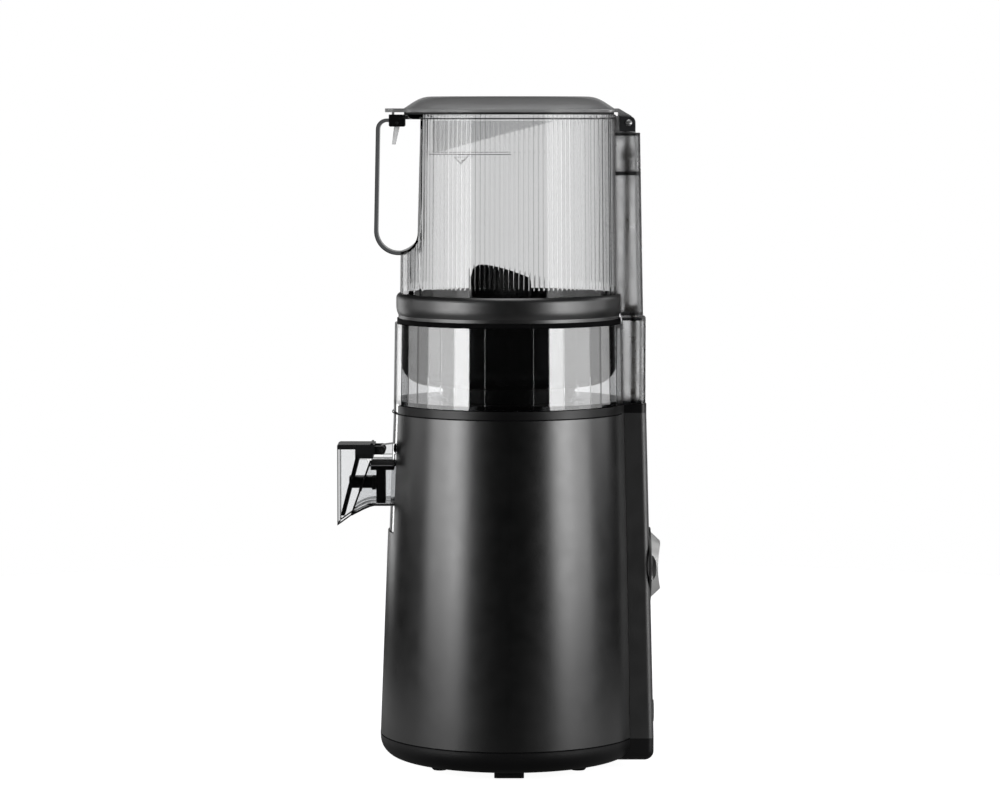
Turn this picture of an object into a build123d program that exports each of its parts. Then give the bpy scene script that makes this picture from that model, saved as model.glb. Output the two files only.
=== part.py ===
from build123d import *
import os
from math import acos, cos, pi, radians, sin, sqrt, tan

# A vertical slow juicer, in millimetres, laid out about its drive axis: +Z up,
# the spouts and the handle towards -Y, the spine with the hinge and the knob towards +Y.

# ---- heights, stacked up from the table ----
FOOT_HEIGHT = 6.5
PAN_HEIGHT = 15.5
BODY_HEIGHT = 219.6
TRIM_HEIGHT = 5.8
SEAT_GAP = 0.5
CHAMBER_HEIGHT = 54.1
SEAL_HEIGHT = 3.3
COLLAR_HEIGHT = 16.8
HOPPER_HEIGHT = 134.2
RIM_HEIGHT = 3.2
LID_SEAL_HEIGHT = 1.5
LID_EDGE_HEIGHT = 2.6
LID_EDGE_ROUND = 0.9
LID_RISE = 8.0

# ---- radii, each stepping in from the one below it ----
BODY_TOP_RADIUS = 79.3
BODY_TAPER = 8.4
CHAMBER_STEP = 1.1
CHAMBER_TAPER = 0.8
COLLAR_STEP = 0.9
HOPPER_STEP = 2.6
HOPPER_TAPER = 1.5
RIM_STEP = 0.1
LID_STEP = 0.3
LID_SLOPE = 20.0
FLUTES = 45

# ---- walls ----
BODY_WALL = 2.6
PAN_WALL = 2.4
PAN_EDGE_RADIUS = 13.0
CHAMBER_WALL = 2.6
BOWL_RADIUS = 54.0
BOWL_WALL = 2.4
BOWL_DEPTH = 75.9
WELL_WALL = 2.4
WELL_CLEARANCE = 1.2
WELL_FLOOR_CLEARANCE = 2.0
WELL_FLANGE = 5.4
HOPPER_WALL = 2.5
COLLAR_UNDERCUT = 1.5
COLLAR_NECK = 2.2
COLLAR_ROUND = 3.4
LID_WALL = 2.2
LID_RIM_WIDTH = 4.0
LID_SEAL_WIDTH = 2.6
LID_SEAL_INSET = 1.0
SEAL_WIDTH = 5.1
SEAL_INSET = 1.5

# ---- the spine that runs down the back ----
SPINE_HALF_WIDTH = 15.5
SPINE_FOOT_HALF_WIDTH = 31.5
BODY_SPINE_TOP_PROUD = 13.7
BODY_SPINE_FOOT_PROUD = 10.3
LOBE_PROUD = 14.2
HOPPER_SPINE_TOP_PROUD = 15.8
HOPPER_SPINE_FOOT_PROUD = 16.7
SPINE_WALL = 2.0
SPINE_CORNER = 4.0
SPINE_STEP = 2.2
LOBE_GAP = 1.5
HOPPER_SPINE_TOP_DROP = 9.1

# ---- the finger gap and the handle ----
GAP_RADIUS = 14.0
GAP_CENTRE_PROUD = 1.1
GAP_CENTRE_RISE = 59.1
RECESS_LEAN = 2.6
STRAP_THICKNESS = 2.4
STRAP_WIDTH = 20.0
STRAP_LEAN = 1.8
STRAP_TOP_BEND = 6.1
STRAP_TOP_DROP = 0.7
LATCH_HOUSING_DEPTH = 10.8
LATCH_HOUSING_HEIGHT = 8.2
LATCH_HOUSING_PROUD = 8.7
LATCH_HOUSING_WALL = 1.6
LATCH_HOUSING_ROUND = 1.2
LATCH_SLOT_WIDTH = 10.0
LATCH_SLOT_DEPTH = 7.6
LATCH_PIN_RADIUS = 1.0
LATCH_PIN_SETBACK = 5.6
LATCH_PIN_LIFT = 2.6
TONGUE_LENGTH = 14.5
TONGUE_THICKNESS = 2.2
TONGUE_BEND = 4.0
TONGUE_LEAN = 2.5
TONGUE_SWELL = 0.6
NOSE_RISE = 4.4
NOSE_LENGTH = 0.8
LUG_DEPTH = 4.2
TAB_LENGTH = 11.8
TAB_WIDTH = 18.0
TAB_THICKNESS = 2.6

# ---- lid hinge and interlock ----
HINGE_PROUD = 8.2
HINGE_DROP = 5.5
HINGE_PIN_RADIUS = 2.0
HUB_RADIUS = 4.6
HUB_WALL = 1.2
HUB_HALF_WIDTH = 7.0
EAR_THICKNESS = 5.0
CAM_HALF_WIDTH = 2.6
CAM_LIFT_PER_RADIAN = 1.75
CAM_CLOSED_RADIUS = 6.6
CAM_LEAD = 0.2
HINGE_ARM_CLEARANCE = 1.4
LID_OPENING_DEGREES = 105.0
ROD_PROUD = 6.0
ROD_RADIUS = 2.0
ROD_HEAD_RADIUS = 5.0
ROD_HEAD_HEIGHT = 9.0
ROD_FOOT_LENGTH = 9.2
ROD_FOOT_HEIGHT = 4.2
ROD_FOOT_WIDTH = 7.0
SPRING_WIRE = 0.9
SPRING_TURNS = 4
SPRING_PITCH = 2.2
GUIDE_DROP = 35.0
GUIDE_THICKNESS = 2.6
RELAY_PROUD = 6.4
RELAY_RADIUS = 2.0
SWITCH_DROP = 10.0
SWITCH_HEIGHT = 12.0
SWITCH_HALF_WIDTH = 9.0
SWITCH_STANDOFF = 1.2
PLUNGER_COLLAR_WIDTH = 1.5
PLUNGER_COLLAR_HEIGHT = 2.0
PLUNGER_COLLAR_DROP = 6.0

# ---- the front apron and the two spouts ----
APRON_HALF_WIDTH = 26.0
APRON_DROP = 86.2
APRON_WALL = 2.8
APRON_INSET = 1.0
SPOUT_OFFSET = 14.0
SPOUT_HALF_WIDTH = 11.0
SPOUT_WALL = 1.8
SPOUT_DROP = 39.5
SPOUT_HEIGHT = 28.5
SPOUT_LENGTH = 27.0
SPOUT_SLANT = 12.6
SPOUT_BEND_LENGTH = 15.6
SPOUT_LIP_DROP = 6.4
SEAT_SETBACK = 17.0
SEAT_PLATE_THICKNESS = 6.0
SEAT_LIP = 3.8
SEAT_FLANGE_LENGTH = 15.8
SEAT_FLANGE_THICKNESS = 2.4

# ---- the drip-stop cap ----
CAP_PIVOT_SETBACK = 20.5
CAP_PIVOT_RISE = 9.2
CAP_TOP_RISE = 4.0
CAP_PLATE_THICKNESS = 3.2
CAP_BLOCK_THICKNESS = 3.6
CAP_BLOCK_LENGTH = 13.2
CAP_HEEL_GAP = 4.4
CAP_FRONT_GAP = 9.2
CAP_TIP_DROP = 6.6
CAP_WALL = 1.7
CAP_BARREL_RADIUS = 2.9
CAP_PIN_RADIUS = 1.2
CAP_ARM_WIDTH = 4.4
CAP_BOSS_HALF_WIDTH = 7.0
CAP_BOSS_RISE = 6.5
CAP_WEB_WIDTH = 3.0
CAP_CHAMFER = 1.2
CAP_RIDGE_RADIUS = 1.0
SLANT_THICKNESS = 2.8
PLUG_DROP = 13.0
PLUG_THICKNESS = 7.4
PLUG_HALF_WIDTH = 6.5
PLUG_HOLE_RADIUS = 4.4
PLUG_NOSE_RADIUS = 3.6
PLUG_NOSE_LENGTH = 1.3
PLUG_DEPTH = 2.7
PLUG_LIP = 1.0

# ---- strainer, auger and slicing wing ----
CHAMBER_HUB_RADIUS = 12.0
CHAMBER_HUB_HEIGHT = 15.0
HUB_CLEARANCE = 1.2
STRAINER_RADIUS = 42.0
STRAINER_WALL = 1.8
STRAINER_RIM = 2.0
STRAINER_LIFT = 8.0
STRAINER_SLOTS = 20
STRAINER_SLOT_WIDTH = 2.4
STRAINER_SLOT_MARGIN = 8.0
STRAINER_COLLAR_HEIGHT = 12.0
STRAINER_FOOT_HEIGHT = 3.0
FUNNEL_HEIGHT = 38.0
FUNNEL_WALL = 2.0
FUNNEL_SKIRT = 6.0
FUNNEL_BOWL_HEIGHT = 12.0
FUNNEL_FLANGE = 3.3
FUNNEL_RIM = 3.0
FUNNEL_CLEARANCE = 0.6
AUGER_GAP = 0.8
AUGER_LIFT = 1.0
AUGER_CORE_FOOT_RADIUS = 24.0
AUGER_CORE_TOP_RADIUS = 14.0
AUGER_PITCH = 34.0
AUGER_FLIGHT_THICKNESS = 4.0
AUGER_TOP_RISE = 10.7
AUGER_HUB_RADIUS = 15.0
SOCKET_WALL = 3.0
WING_REACH = 60.0
WING_RISE = 33.5
WING_ROOT = 7.0
WING_THICKNESS = 4.0
WING_REST_TURN = 42.0
WING_CAP_HEIGHT = 9.0
WING_HEEL = 8.0
WING_BOW = 0.42

# ---- drive train, hung under the chamber well ----
SHAFT_RADIUS = 7.0
HEX_ACROSS_FLATS = 12.0
HEX_CLEARANCE = 0.1
HEX_LENGTH = 29.0
HEX_CHAMFER = 3.0
SHAFT_TAIL = 3.0
SHAFT_SEAL_WIDTH = 1.6
SHAFT_SEAL_PROUD = 0.8
MODULE = 1.0
PINION_TEETH = 12
WHEEL_TEETH = 48
WHEEL_ADDENDUM = 0.75
PINION_ADDENDUM = 1.0
PRESSURE_ANGLE = 20.0
BACKLASH = 0.16
WHEEL_WINDOW_RADIUS = 3.2
WHEEL_WINDOW_CIRCLE = 15.0
WHEEL_WINDOWS = 6
GEARCASE_WALL = 2.6
GEARCASE_ROOM = 2.0
COVER_THICKNESS = 4.0
OUTPUT_WHEEL_DROP = 3.0
OUTPUT_WHEEL_HEIGHT = 8.0
WHEEL_GAP = 8.0
INPUT_WHEEL_HEIGHT = 7.0
INPUT_WHEEL_LIFT = 7.0
PINION_MARGIN = 1.0
IDLER_AXLE_RADIUS = 3.0
BEARING_RADIUS = 13.0
BEARING_HEIGHT = 7.0
BEARING_SPACING = 1.0
TURRET_WALL = 3.0
TURRET_LIP = 1.6
TURRET_MOUTH_GAP = 3.5
MOTOR_RADIUS = 41.0
MOTOR_WALL = 2.0
CAN_GAP = 4.0
CAN_WINDOWS = 8
CAN_WINDOW_WIDTH = 14.0
CAN_WINDOW_HEIGHT = 8.0
CAN_WINDOW_DROP = 10.0
STATOR_BORE = 17.0
STATOR_HEIGHT = 38.0
STATOR_LIFT = 26.0
WINDING_HEIGHT = 9.0
WINDING_INSET = 4.0
WINDING_MARGIN = 7.0
WINDING_ROOM = 2.0
ROTOR_RADIUS = 16.2
MOTOR_SHAFT_RADIUS = 3.4
MOTOR_SHAFT_TAIL = 5.0
MOTOR_BEARING_WALL = 4.0
MOTOR_BEARING_HEIGHT = 6.0
FAN_RADIUS = 33.0
FAN_BLADES = 7
FAN_BLADE_LENGTH = 20.0
FAN_BLADE_THICKNESS = 1.6
FAN_BLADE_TURN = 25.0
FAN_HUB_WALL = 5.0
FAN_LIFT = 8.0
FAN_PLATE_THICKNESS = 2.0
FAN_GAP = 1.0
CRADLE_THICKNESS = 3.0
CRADLE_WIDTH = 12.0
CRADLE_LEG_RADIUS = 5.0

# ---- base, feet and fittings ----
FOOT_CIRCLE_RADIUS = 54.0
BLOCK_FOOT_LENGTH = 20.0
BLOCK_FOOT_WIDTH = 12.0
BLOCK_FOOT_CORNER = 2.0
ROUND_FOOT_RADIUS = 6.5
ROUND_FOOT_ANGLE = 60.0
SCREW_ANGLE = 45.0
SCREW_RADIUS = 1.5
SCREW_HEAD_RADIUS = 3.0
SCREW_HEAD_HEIGHT = 2.0
SCREW_SINK = 0.8
SCREW_BOSS_RADIUS = 4.5
VENT_SLOTS = 9
VENT_WIDTH = 3.0
VENT_PITCH = 7.2
VENT_LENGTH = 34.0
CABLE_WAY_WIDTH = 12.0
CABLE_WAY_HEIGHT = 16.0
CABLE_WAY_DROP = 24.0
BOARD_STANDOFF = 13.0
BOARD_THICKNESS = 1.6
BOARD_WIDTH = 52.0
BOARD_HEIGHT = 62.0
BOARD_LIFT = 28.0
BOARD_MARGIN = 6.0
HEATSINK_WIDTH = 14.0
HEATSINK_DEPTH = 14.0
HEATSINK_HEIGHT = 26.0
RELAY_BOX_WIDTH = 10.0
RELAY_BOX_DEPTH = 10.0
RELAY_BOX_HEIGHT = 14.0
CAPACITOR_RADIUS = 7.0
CAPACITOR_LENGTH = 14.0
BRACKET_WIDTH = 44.0
BRACKET_THICKNESS = 2.4
BRACKET_FOOT = 10.0
KNOB_RISE = 114.6
KNOB_RADIUS = 22.3
KNOB_DEPTH = 7.4
KNOB_RING_RADIUS = 28.3
KNOB_RING_PROUD = 1.0
KNOB_SCOOP_RADIUS = 62.0
KNOB_SCOOP_DEPTH = 2.7
KNOB_STEM_RADIUS = 3.0
KNOB_STEM_GRIP = 6.0
KNOB_EDGE_HEIGHT = 1.2
KNOB_SHOULDER = 6.0
SELECTOR_HALF_WIDTH = 11.0
SELECTOR_HALF_HEIGHT = 12.0
SELECTOR_SLACK = 1.2
SELECTOR_STANDOFF = 1.5
GLAND_RISE = 14.0
GLAND_RADIUS = 7.5
GLAND_NECK_RADIUS = 6.0
GLAND_BORE_RADIUS = 3.5
GLAND_TAIL = 1.6
GLAND_PROUD = 1.3

# ---- clearances ----
SLIDE_GAP = 0.4
RUN_GAP = 0.05
FACE_GAP = 0.3
SEAT_FIT = 0.1
THROUGH = 5.0

# The origin of the finished part lies under the middle of its footprint,
# and the drive axis stands this far behind it.
AXIS_BEHIND_MIDDLE = 6.1

# ---- radii worked out ----
BODY_FOOT_RADIUS = BODY_TOP_RADIUS + BODY_TAPER
CHAMBER_FOOT_RADIUS = BODY_TOP_RADIUS - CHAMBER_STEP
CHAMBER_TOP_RADIUS = CHAMBER_FOOT_RADIUS - CHAMBER_TAPER
COLLAR_RADIUS = CHAMBER_TOP_RADIUS - COLLAR_STEP
HOPPER_FOOT_RADIUS = COLLAR_RADIUS - HOPPER_STEP
HOPPER_TOP_RADIUS = HOPPER_FOOT_RADIUS - HOPPER_TAPER
RIM_RADIUS = HOPPER_TOP_RADIUS - RIM_STEP
LID_RADIUS = RIM_RADIUS - LID_STEP
LID_PLATEAU_RADIUS = LID_RADIUS - LID_SLOPE
BODY_SPINE_TOP_REACH = BODY_TOP_RADIUS + BODY_SPINE_TOP_PROUD
BODY_SPINE_FOOT_REACH = BODY_FOOT_RADIUS + BODY_SPINE_FOOT_PROUD
LOBE_REACH = CHAMBER_FOOT_RADIUS + LOBE_PROUD
HOPPER_SPINE_TOP_REACH = HOPPER_TOP_RADIUS + HOPPER_SPINE_TOP_PROUD
HOPPER_SPINE_FOOT_REACH = HOPPER_FOOT_RADIUS + HOPPER_SPINE_FOOT_PROUD
GAP_CENTRE_REACH = HOPPER_FOOT_RADIUS + GAP_CENTRE_PROUD
LATCH_HOUSING_REACH = RIM_RADIUS + LATCH_HOUSING_PROUD
LATCH_PIN_REACH = LATCH_HOUSING_REACH - LATCH_PIN_SETBACK
HINGE_REACH = RIM_RADIUS + HINGE_PROUD
ROD_REACH = HOPPER_FOOT_RADIUS + ROD_PROUD
RELAY_REACH = CHAMBER_FOOT_RADIUS + RELAY_PROUD
CENTRE_DISTANCE = MODULE * (PINION_TEETH + WHEEL_TEETH) / 2

# ---- heights worked out ----
PAN_TOP = FOOT_HEIGHT + PAN_HEIGHT
BODY_TOP = PAN_TOP + BODY_HEIGHT
TRIM_TOP = BODY_TOP + TRIM_HEIGHT
CHAMBER_FOOT = TRIM_TOP + SEAT_GAP
CHAMBER_TOP = CHAMBER_FOOT + CHAMBER_HEIGHT
CHAMBER_FLOOR = CHAMBER_FOOT - BOWL_DEPTH
CHAMBER_HUB_TOP = CHAMBER_FLOOR + CHAMBER_HUB_HEIGHT
HOPPER_FOOT = CHAMBER_TOP + SEAL_HEIGHT
COLLAR_TOP = HOPPER_FOOT + COLLAR_HEIGHT
RIM_FOOT = HOPPER_FOOT + HOPPER_HEIGHT
RIM_TOP = RIM_FOOT + RIM_HEIGHT
LID_FOOT = RIM_TOP + LID_SEAL_HEIGHT
LID_EDGE_TOP = LID_FOOT + LID_EDGE_HEIGHT
LID_TOP = LID_EDGE_TOP + LID_RISE
HOPPER_SPINE_TOP = RIM_FOOT - HOPPER_SPINE_TOP_DROP
HOPPER_SPINE_FOOT = HOPPER_FOOT + SPINE_STEP
LOBE_TOP = HOPPER_SPINE_FOOT - LOBE_GAP
GAP_CENTRE_Z = HOPPER_FOOT + GAP_CENTRE_RISE
LATCH_PIN_Z = RIM_TOP - LATCH_HOUSING_HEIGHT + LATCH_PIN_LIFT
HINGE_Z = RIM_TOP - HINGE_DROP
ROD_TOP = HINGE_Z - CAM_CLOSED_RADIUS - FACE_GAP
ROD_FOOT = HOPPER_SPINE_FOOT + SPINE_WALL + FACE_GAP
RELAY_TOP = ROD_FOOT - FACE_GAP
RELAY_FOOT = CHAMBER_FOOT + SPINE_WALL
GUIDE_TOP = RIM_FOOT - GUIDE_DROP
APRON_FOOT = TRIM_TOP - APRON_DROP
SPOUT_TOP = TRIM_TOP - SPOUT_DROP
SPOUT_FLOOR = SPOUT_TOP - SPOUT_HEIGHT
SPOUT_LIP = SPOUT_FLOOR - SPOUT_LIP_DROP
CAP_PIVOT_Z = SPOUT_TOP + CAP_PIVOT_RISE
CAP_TOP = CAP_PIVOT_Z + CAP_TOP_RISE
CAP_BLOCK_FOOT = CAP_TOP - CAP_PLATE_THICKNESS - CAP_BLOCK_THICKNESS
CAP_TIP = SPOUT_LIP - CAP_TIP_DROP
PLUG_Z = SPOUT_TOP - PLUG_DROP
STRAINER_FOOT = CHAMBER_FLOOR + STRAINER_LIFT
STRAINER_TOP = CHAMBER_TOP - FUNNEL_HEIGHT
AUGER_FOOT = STRAINER_FOOT + AUGER_LIFT
AUGER_TOP = HOPPER_FOOT + AUGER_TOP_RISE
SOCKET_FOOT = CHAMBER_HUB_TOP + HUB_CLEARANCE
SHAFT_TOP = CHAMBER_HUB_TOP + HEX_LENGTH
WELL_FLOOR = CHAMBER_FLOOR - WELL_FLOOR_CLEARANCE
TURRET_HEIGHT = 2 * BEARING_HEIGHT + TURRET_LIP
GEARCASE_TOP = WELL_FLOOR - WELL_WALL - TURRET_HEIGHT
OUTPUT_WHEEL_TOP = GEARCASE_TOP - OUTPUT_WHEEL_DROP
OUTPUT_WHEEL_FOOT = OUTPUT_WHEEL_TOP - OUTPUT_WHEEL_HEIGHT
INPUT_WHEEL_TOP = OUTPUT_WHEEL_FOOT - WHEEL_GAP
INPUT_WHEEL_FOOT = INPUT_WHEEL_TOP - INPUT_WHEEL_HEIGHT
GEARCASE_FOOT = INPUT_WHEEL_FOOT - INPUT_WHEEL_LIFT
CAN_TOP = GEARCASE_FOOT - CAN_GAP
STATOR_TOP = CAN_TOP - WINDING_ROOM - WINDING_HEIGHT
STATOR_FOOT = STATOR_TOP - STATOR_HEIGHT
MOTOR_FOOT = STATOR_FOOT - STATOR_LIFT
PAN_FLOOR = FOOT_HEIGHT + PAN_WALL
KNOB_Z = PAN_TOP + KNOB_RISE
GLAND_Z = PAN_TOP + GLAND_RISE


# ---- simple solids ----
def turned(*outline):
    """A solid turned about the drive axis from its (radius, height) corners."""
    return revolve(Plane.XZ * make_face(Polyline(*outline, close=True)), Axis.Z)


def ring(inner, outer, foot, top):
    """A plain ring about the drive axis."""
    return turned((inner, foot), (outer, foot), (outer, top), (inner, top))


def disc(radius, foot, top, x=0.0, y=0.0):
    """An upright cylinder."""
    return Pos(x, y, (foot + top) / 2) * Cylinder(radius, top - foot)


def block(left, right, front, back, foot, top):
    """A box from its six sides."""
    middle = Pos((left + right) / 2, (front + back) / 2, (foot + top) / 2)
    return middle * Box(right - left, back - front, top - foot)


def side_plate(half_width, *outline):
    """A plate of (y, z) outline, as thick as twice half_width, centred on x = 0."""
    face = Plane.YZ * make_face(Polyline(*outline, close=True))
    return extrude(face, amount=half_width, both=True)


def crossbar(radius, y, z, left, right):
    """A round bar along X."""
    bar = Rot(0, 90, 0) * Cylinder(radius, right - left)
    return Pos((left + right) / 2, y, z) * bar


def faceted(foot_radius, top_radius, foot, top):
    """A tapering prism of flat flutes, one of them facing +X; radii are across flats."""
    corner = 1 / cos(pi / FLUTES)
    turn = 180 / FLUTES
    lower = Pos(0, 0, foot) * RegularPolygon(foot_radius * corner, FLUTES, rotation=turn)
    upper = Pos(0, 0, top) * RegularPolygon(top_radius * corner, FLUTES, rotation=turn)
    return loft([lower, upper], ruled=True)


def body_radius(z):
    """The body's outer radius at a height."""
    rise = (z - PAN_TOP) / BODY_HEIGHT
    return BODY_FOOT_RADIUS + (BODY_TOP_RADIUS - BODY_FOOT_RADIUS) * rise


def body_spine_reach(z):
    """How far the body's spine reaches behind the drive axis at a height."""
    rise = (z - PAN_TOP) / BODY_HEIGHT
    return BODY_SPINE_FOOT_REACH + (BODY_SPINE_TOP_REACH - BODY_SPINE_FOOT_REACH) * rise


def body_spine_half_width(z):
    """Half the width of the body's spine at a height."""
    rise = (z - PAN_TOP) / BODY_HEIGHT
    return SPINE_FOOT_HALF_WIDTH + (SPINE_HALF_WIDTH - SPINE_FOOT_HALF_WIDTH) * rise


def spine_section(half_width, reach, z, inset):
    """A cross-section of the spine with rounded rear corners, from the middle outwards."""
    wide = half_width - inset
    back = reach - inset
    front = BOWL_RADIUS
    sheet = Pos(0, (front + back) / 2) * Rectangle(2 * wide, back - front)
    corners = sheet.vertices().filter_by(lambda v: v.Y > (front + back) / 2)
    return Pos(0, 0, z) * fillet(corners, SPINE_CORNER - inset * 0.75)


def spine_form(foot, foot_half, foot_reach, top, top_half, top_reach, inset=0.0):
    """A length of spine as a solid, tapering from foot to top."""
    lower = spine_section(foot_half, foot_reach, foot, inset)
    upper = spine_section(top_half, top_reach, top, inset)
    return loft([lower, upper], ruled=True)


# ---- how far the spouts and their cap reach in front of the drive axis ----
SPOUT_REACH = body_radius(SPOUT_TOP) - APRON_INSET + SPOUT_LENGTH
SPOUT_MOUTH_TOP_REACH = SPOUT_REACH - SPOUT_SLANT
SPOUT_BEND_REACH = SPOUT_REACH - SPOUT_BEND_LENGTH
SEAT_PLATE_REACH = SPOUT_REACH - SEAT_SETBACK
CAP_PIVOT_REACH = SPOUT_REACH - CAP_PIVOT_SETBACK
CAP_REACH = SPOUT_REACH + CAP_FRONT_GAP


# ---- the base ----
def body_cone(inset, foot, top):
    """The tapering body as a solid, moved inwards by inset."""
    return turned((0, foot), (body_radius(foot) - inset, foot), (body_radius(top) - inset, top), (0, top))


def front_opening(gap, foot, top):
    """The space that the apron and its ducts pass through when the chamber lifts out."""
    half = APRON_HALF_WIDTH + gap
    return block(-half, half, -BODY_FOOT_RADIUS - THROUGH, -BOWL_RADIUS / 2, foot, top)


def body_shell():
    """The tapered outer casing, open in front for the chamber's apron."""
    shell = body_cone(0, PAN_TOP, BODY_TOP) - body_cone(BODY_WALL, PAN_TOP, BODY_TOP)
    shell -= front_opening(SLIDE_GAP, APRON_FOOT - SLIDE_GAP, BODY_TOP + THROUGH)
    top = KNOB_Z - CABLE_WAY_DROP
    half = CABLE_WAY_WIDTH / 2
    return shell - block(-half, half, 0, BODY_FOOT_RADIUS, top - CABLE_WAY_HEIGHT, top)


def body_spine(inset, foot, top):
    """The body's spine between two heights as a solid."""
    return spine_form(
        foot, body_spine_half_width(foot), body_spine_reach(foot),
        top, body_spine_half_width(top), body_spine_reach(top), inset,
    )


def spine_cover():
    """The channel down the back that carries the knob, the cord gland and the lid switch."""
    cover = body_spine(0, PAN_TOP, BODY_TOP) - body_spine(SPINE_WALL, PAN_TOP, BODY_TOP)
    cover -= body_cone(-SEAT_FIT, PAN_TOP, BODY_TOP)
    stem_hole = Pos(0, body_spine_reach(KNOB_Z), KNOB_Z) * Rot(90, 0, 0) * Cylinder(
        KNOB_STEM_RADIUS + 2 * SLIDE_GAP, 4 * SPINE_WALL
    )
    gland_hole = Pos(0, body_spine_reach(GLAND_Z), GLAND_Z) * Rot(90, 0, 0) * Cylinder(
        GLAND_NECK_RADIUS, 4 * SPINE_WALL
    )
    return cover - stem_hole - gland_hole


def trim_ring():
    """The band round the top of the body, with a tongue over the spine."""
    foot = BODY_TOP
    band = disc(BODY_TOP_RADIUS, foot, TRIM_TOP) + spine_form(
        foot, SPINE_HALF_WIDTH, BODY_SPINE_TOP_REACH, TRIM_TOP, SPINE_HALF_WIDTH, BODY_SPINE_TOP_REACH
    )
    band -= disc(BODY_TOP_RADIUS - 3 * BODY_WALL, foot, TRIM_TOP)
    band -= front_opening(SLIDE_GAP, foot, TRIM_TOP)
    plunger_hole = disc(RELAY_RADIUS + SLIDE_GAP, foot, TRIM_TOP, 0, RELAY_REACH)
    return band - plunger_hole


def chamber_well():
    """The cup inside the body that the chamber's bowl drops into, with a hole for the shaft's seal."""
    inner = BOWL_RADIUS + WELL_CLEARANCE
    outer = inner + WELL_WALL
    under = WELL_FLOOR - WELL_WALL
    flange = BODY_TOP_RADIUS - WELL_FLANGE
    hole = SHAFT_RADIUS + SHAFT_SEAL_WIDTH
    cup = turned(
        (hole, under), (outer, under), (outer, BODY_TOP - WELL_WALL), (flange, BODY_TOP - WELL_WALL),
        (flange, BODY_TOP), (inner, BODY_TOP), (inner, WELL_FLOOR), (hole, WELL_FLOOR),
    )
    return cup - front_opening(SLIDE_GAP, APRON_FOOT - SLIDE_GAP, BODY_TOP + THROUGH)


def pan_form(inset):
    """The bottom pan and the foot of the spine as one rounded solid, moved inwards by inset."""
    edge = PAN_EDGE_RADIUS - inset
    radius = BODY_FOOT_RADIUS - inset
    foot = FOOT_HEIGHT + inset
    tub = Plane.XZ * make_face(
        [
            Line((0, foot), (radius - edge, foot)),
            RadiusArc((radius - edge, foot), (radius, foot + edge), -edge),
            Line((radius, foot + edge), (radius, PAN_TOP)),
            Line((radius, PAN_TOP), (0, PAN_TOP)),
            Line((0, PAN_TOP), (0, foot)),
        ]
    )
    half = SPINE_FOOT_HALF_WIDTH - inset
    back = BODY_SPINE_FOOT_REACH - inset
    heel = block(-half, half, BOWL_RADIUS, back, foot, PAN_TOP)
    uprights = heel.edges().filter_by(Axis.Z).group_by(Axis.Y)[-1]
    heel = fillet(uprights, SPINE_CORNER - inset * 0.75)
    under = heel.edges().group_by(Axis.Z)[0].filter_by(lambda e: e.center().Y > BOWL_RADIUS + 1)
    return revolve(tub, Axis.Z) + fillet(under, PAN_EDGE_RADIUS / 2 - inset)


def base_pan():
    """The rounded bottom pan with its air slots and the bosses for the screws."""
    pan = pan_form(0) - Pos(0, 0, SEAT_FIT) * pan_form(PAN_WALL)
    for i in range(VENT_SLOTS):
        x = (i - (VENT_SLOTS - 1) / 2) * VENT_PITCH
        pan -= block(x - VENT_WIDTH / 2, x + VENT_WIDTH / 2, -VENT_LENGTH / 2, VENT_LENGTH / 2, 0, PAN_TOP)
    head_top = FOOT_HEIGHT + SCREW_SINK + SCREW_HEAD_HEIGHT
    for at in PolarLocations(FOOT_CIRCLE_RADIUS, 4, start_angle=SCREW_ANGLE):
        pan += at * disc(SCREW_BOSS_RADIUS, PAN_FLOOR, PAN_TOP)
        pan -= at * disc(SCREW_RADIUS + SEAT_FIT, 0, PAN_TOP)
        pan -= at * disc(SCREW_HEAD_RADIUS + SEAT_FIT, 0, head_top)
    return pan


def block_feet():
    """The two long rubber feet, left and right."""
    feet = []
    for side in (-1, 1):
        x = side * FOOT_CIRCLE_RADIUS
        foot = block(
            x - BLOCK_FOOT_WIDTH / 2, x + BLOCK_FOOT_WIDTH / 2,
            -BLOCK_FOOT_LENGTH / 2, BLOCK_FOOT_LENGTH / 2, 0, FOOT_HEIGHT,
        )
        feet.append(fillet(foot.edges().filter_by(Axis.Z), BLOCK_FOOT_CORNER))
    return feet


def round_feet():
    """The four small domed rubber feet."""
    crown = ROUND_FOOT_RADIUS * 0.7
    swell = ROUND_FOOT_RADIUS * 0.93
    half = make_face(
        [
            Line((0, 0), (crown, 0)),
            ThreePointArc((crown, 0), (swell, FOOT_HEIGHT * 0.3), (ROUND_FOOT_RADIUS, FOOT_HEIGHT)),
            Line((ROUND_FOOT_RADIUS, FOOT_HEIGHT), (0, FOOT_HEIGHT)),
            Line((0, FOOT_HEIGHT), (0, 0)),
        ]
    )
    dome = revolve(Plane.XZ * half, Axis.Z)
    feet = []
    for angle in (ROUND_FOOT_ANGLE, 180 - ROUND_FOOT_ANGLE, 180 + ROUND_FOOT_ANGLE, -ROUND_FOOT_ANGLE):
        x = FOOT_CIRCLE_RADIUS * cos(radians(angle))
        y = FOOT_CIRCLE_RADIUS * sin(radians(angle))
        feet.append(Pos(x, y, 0) * dome)
    return feet


def base_screws():
    """The four screws that hold the pan, with their heads sunk into the bosses."""
    screws = []
    head_foot = FOOT_HEIGHT + SCREW_SINK
    for at in PolarLocations(FOOT_CIRCLE_RADIUS, 4, start_angle=SCREW_ANGLE):
        head = disc(SCREW_HEAD_RADIUS, head_foot, head_foot + SCREW_HEAD_HEIGHT)
        shank = disc(SCREW_RADIUS, head_foot, PAN_TOP - SCREW_SINK)
        screws.append(at * (shank + head))
    return screws


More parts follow.
